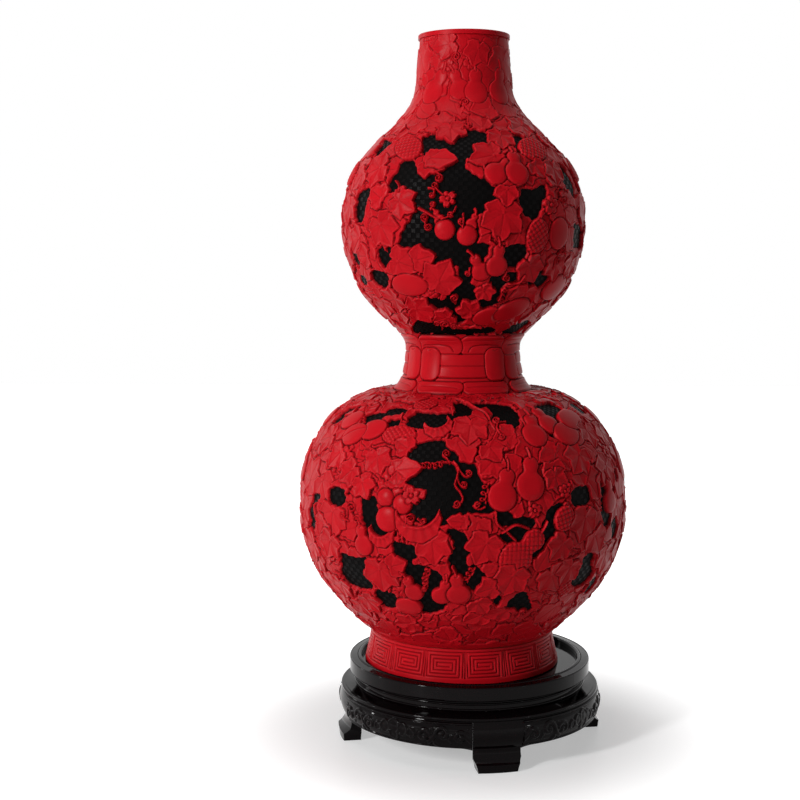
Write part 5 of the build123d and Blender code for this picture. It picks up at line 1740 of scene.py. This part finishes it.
def white_surround():
    """Makes the world white to look at, and a faint light on the object."""
    world = bpy.data.worlds.new("white_surround")
    bpy.context.scene.world = world
    world.use_nodes = True
    tree = world.node_tree
    tree.nodes.clear()
    strength = add(tree, "MapRange", {"Value": seen_directly(tree), "To Min": SURROUND_LIGHT, "To Max": 1.0})
    light = add(tree, "Background", {"Color": (1, 1, 1, 1), "Strength": strength.outputs[0]})
    add(tree, "OutputWorld", {"Surface": light.outputs[0]})


def area_light(name, place, target, size, power):
    """A soft lamp that faces a point."""
    lamp = bpy.data.lights.new(name, "AREA")
    lamp.shape = "RECTANGLE"
    lamp.size, lamp.size_y = size
    lamp.energy = power
    obj = bpy.data.objects.new(name, lamp)
    bpy.context.scene.collection.objects.link(obj)
    obj.location = place
    obj.rotation_euler = (Vector(target) - Vector(place)).to_track_quat("-Z", "Y").to_euler()


def photo_camera():
    """Sets the camera to the photograph's view."""
    camera = bpy.data.cameras.new("photo_view")
    camera.lens = CAMERA_LENS
    camera.sensor_width = 36.0
    camera.clip_start = 0.05
    obj = bpy.data.objects.new("photo_view", camera)
    obj.location = CAMERA_PLACE
    obj.rotation_euler = (math.radians(90 - CAMERA_DIP), 0.0, math.radians(CAMERA_TURN))
    bpy.context.scene.collection.objects.link(obj)
    bpy.context.scene.camera = obj


def make_stage():
    """White floor and surround, key light from the front left, rim and glint lights, and the camera."""
    make_floor()
    white_surround()
    for name, lamp in LAMPS.items():
        area_light(name, *lamp)
    photo_camera()
    bpy.context.scene.view_settings.view_transform = "Standard"


# Operators

# Starts of names, and the finish of the nodes that have them. All others have the stand's
NODE_FINISHES = {
    ("coat_",): "red",
    ("ground_", "lining_", "underside_"): "lining",
    ("metal_", "waist_sleeve", "foot_hoop", "base_plate", "mouth_ring"): "copper",
    ("felt_pad",): "felt",
    ("tray_frame_tongues", "ring_dowels", "panel_battens", "glue_blocks"): "wood",
}


class MakeLowerCoat(bpy.types.Operator):
    """Carve the red coat of the lower globe"""

    bl_idname = "gourd_vase.lower_coat"
    bl_label = "Carved coat of the lower globe"

    def execute(self, context):
        lower_coat()
        return {"FINISHED"}


class MakeUpperCoat(bpy.types.Operator):
    """Carve the red coat of the upper globe and the neck"""

    bl_idname = "gourd_vase.upper_coat"
    bl_label = "Carved coat of the upper globe"

    def execute(self, context):
        upper_coat()
        return {"FINISHED"}


class MakeSash(bpy.types.Operator):
    """Carve the sash at the waist"""

    bl_idname = "gourd_vase.sash"
    bl_label = "Sash at the waist"

    def execute(self, context):
        sash_coat()
        return {"FINISHED"}


class MakeFootBand(bpy.types.Operator):
    """Cut the key fret of the foot band"""

    bl_idname = "gourd_vase.foot_band"
    bl_label = "Foot band with key fret"

    def execute(self, context):
        foot_coat()
        return {"FINISHED"}


class MakeApronCarving(bpy.types.Operator):
    """Carve the aprons of the stand, and round the edges of its tray"""

    bl_idname = "gourd_vase.apron_carving"
    bl_label = "Carved aprons and tray edges"

    def execute(self, context):
        apron_carving()
        for name, measures in TRAY_EDGES.items():
            edge_bead(name, *measures)
        return {"FINISHED"}


class MakeGround(bpy.types.Operator):
    """Lay the black diaper ground of both globes"""

    bl_idname = "gourd_vase.ground"
    bl_label = "Black diaper ground"

    def execute(self, context):
        tiles = context.scene.vase_sizes.tiles
        diaper("diaper_ground_lower", "ground_lower_globe", FOOT_TOP_LEVEL + 0.2, WAIST_LEVEL, tiles)
        upper_tiles = int(tiles * UPPER_TILES / 2) * 2
        diaper("diaper_ground_upper", "ground_upper_globe", WAIST_LEVEL, MOUTH_LEVEL, upper_tiles)
        return {"FINISHED"}


def finish_of(name):
    """Key of the finish of a carried-over node, by the start of its name."""
    for starts, key in NODE_FINISHES.items():
        if name.startswith(starts):
            return key
    return "stand"


class FinishNodes(bpy.types.Operator):
    """Give the carried-over pieces their finishes"""

    bl_idname = "gourd_vase.finish_nodes"
    bl_label = "Finishes of the plain pieces"

    def execute(self, context):
        for name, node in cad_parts.items():
            node.data.materials.clear()
            node.data.materials.append(material_of(finish_of(name)))
        return {"FINISHED"}


class MakeStage(bpy.types.Operator):
    """Set the floor, the soft lights, the white surround and the camera"""

    bl_idname = "gourd_vase.stage"
    bl_label = "Floor, lights and camera"

    def execute(self, context):
        make_stage()
        return {"FINISHED"}


class GourdVasePanel(bpy.types.Panel):
    """Sizes, colours and pieces of the vase"""

    bl_idname = "VIEW3D_PT_gourd_vase"
    bl_label = "Gourd vase"
    bl_space_type = "VIEW_3D"
    bl_region_type = "UI"
    bl_category = "Gourd vase"

    def draw(self, context):
        for group in (context.scene.vase_sizes, context.scene.vase_colours):
            for key in group.__annotations__:
                self.layout.prop(group, key)
        for operator in OPERATORS:
            self.layout.operator(operator.bl_idname)


OPERATORS = (
    MakeLowerCoat,
    MakeUpperCoat,
    MakeSash,
    MakeFootBand,
    MakeApronCarving,
    MakeGround,
    FinishNodes,
    MakeStage,
)


def register():
    """Registers the classes and the groups of properties."""
    for kind in (VaseSizes, VaseColours) + OPERATORS + (GourdVasePanel,):
        bpy.utils.register_class(kind)
    bpy.types.Scene.vase_sizes = bpy.props.PointerProperty(type=VaseSizes)
    bpy.types.Scene.vase_colours = bpy.props.PointerProperty(type=VaseColours)


def unregister():
    """Takes back what register() added."""
    del bpy.types.Scene.vase_colours
    del bpy.types.Scene.vase_sizes
    for kind in reversed((VaseSizes, VaseColours) + OPERATORS + (GourdVasePanel,)):
        bpy.utils.unregister_class(kind)


def main():
    """Makes every piece and the stage."""
    register()
    bpy.ops.gourd_vase.lower_coat()
    bpy.ops.gourd_vase.upper_coat()
    bpy.ops.gourd_vase.sash()
    bpy.ops.gourd_vase.foot_band()
    bpy.ops.gourd_vase.apron_carving()
    bpy.ops.gourd_vase.ground()
    bpy.ops.gourd_vase.finish_nodes()
    bpy.ops.gourd_vase.stage()


if __name__ == "__main__":
    main()
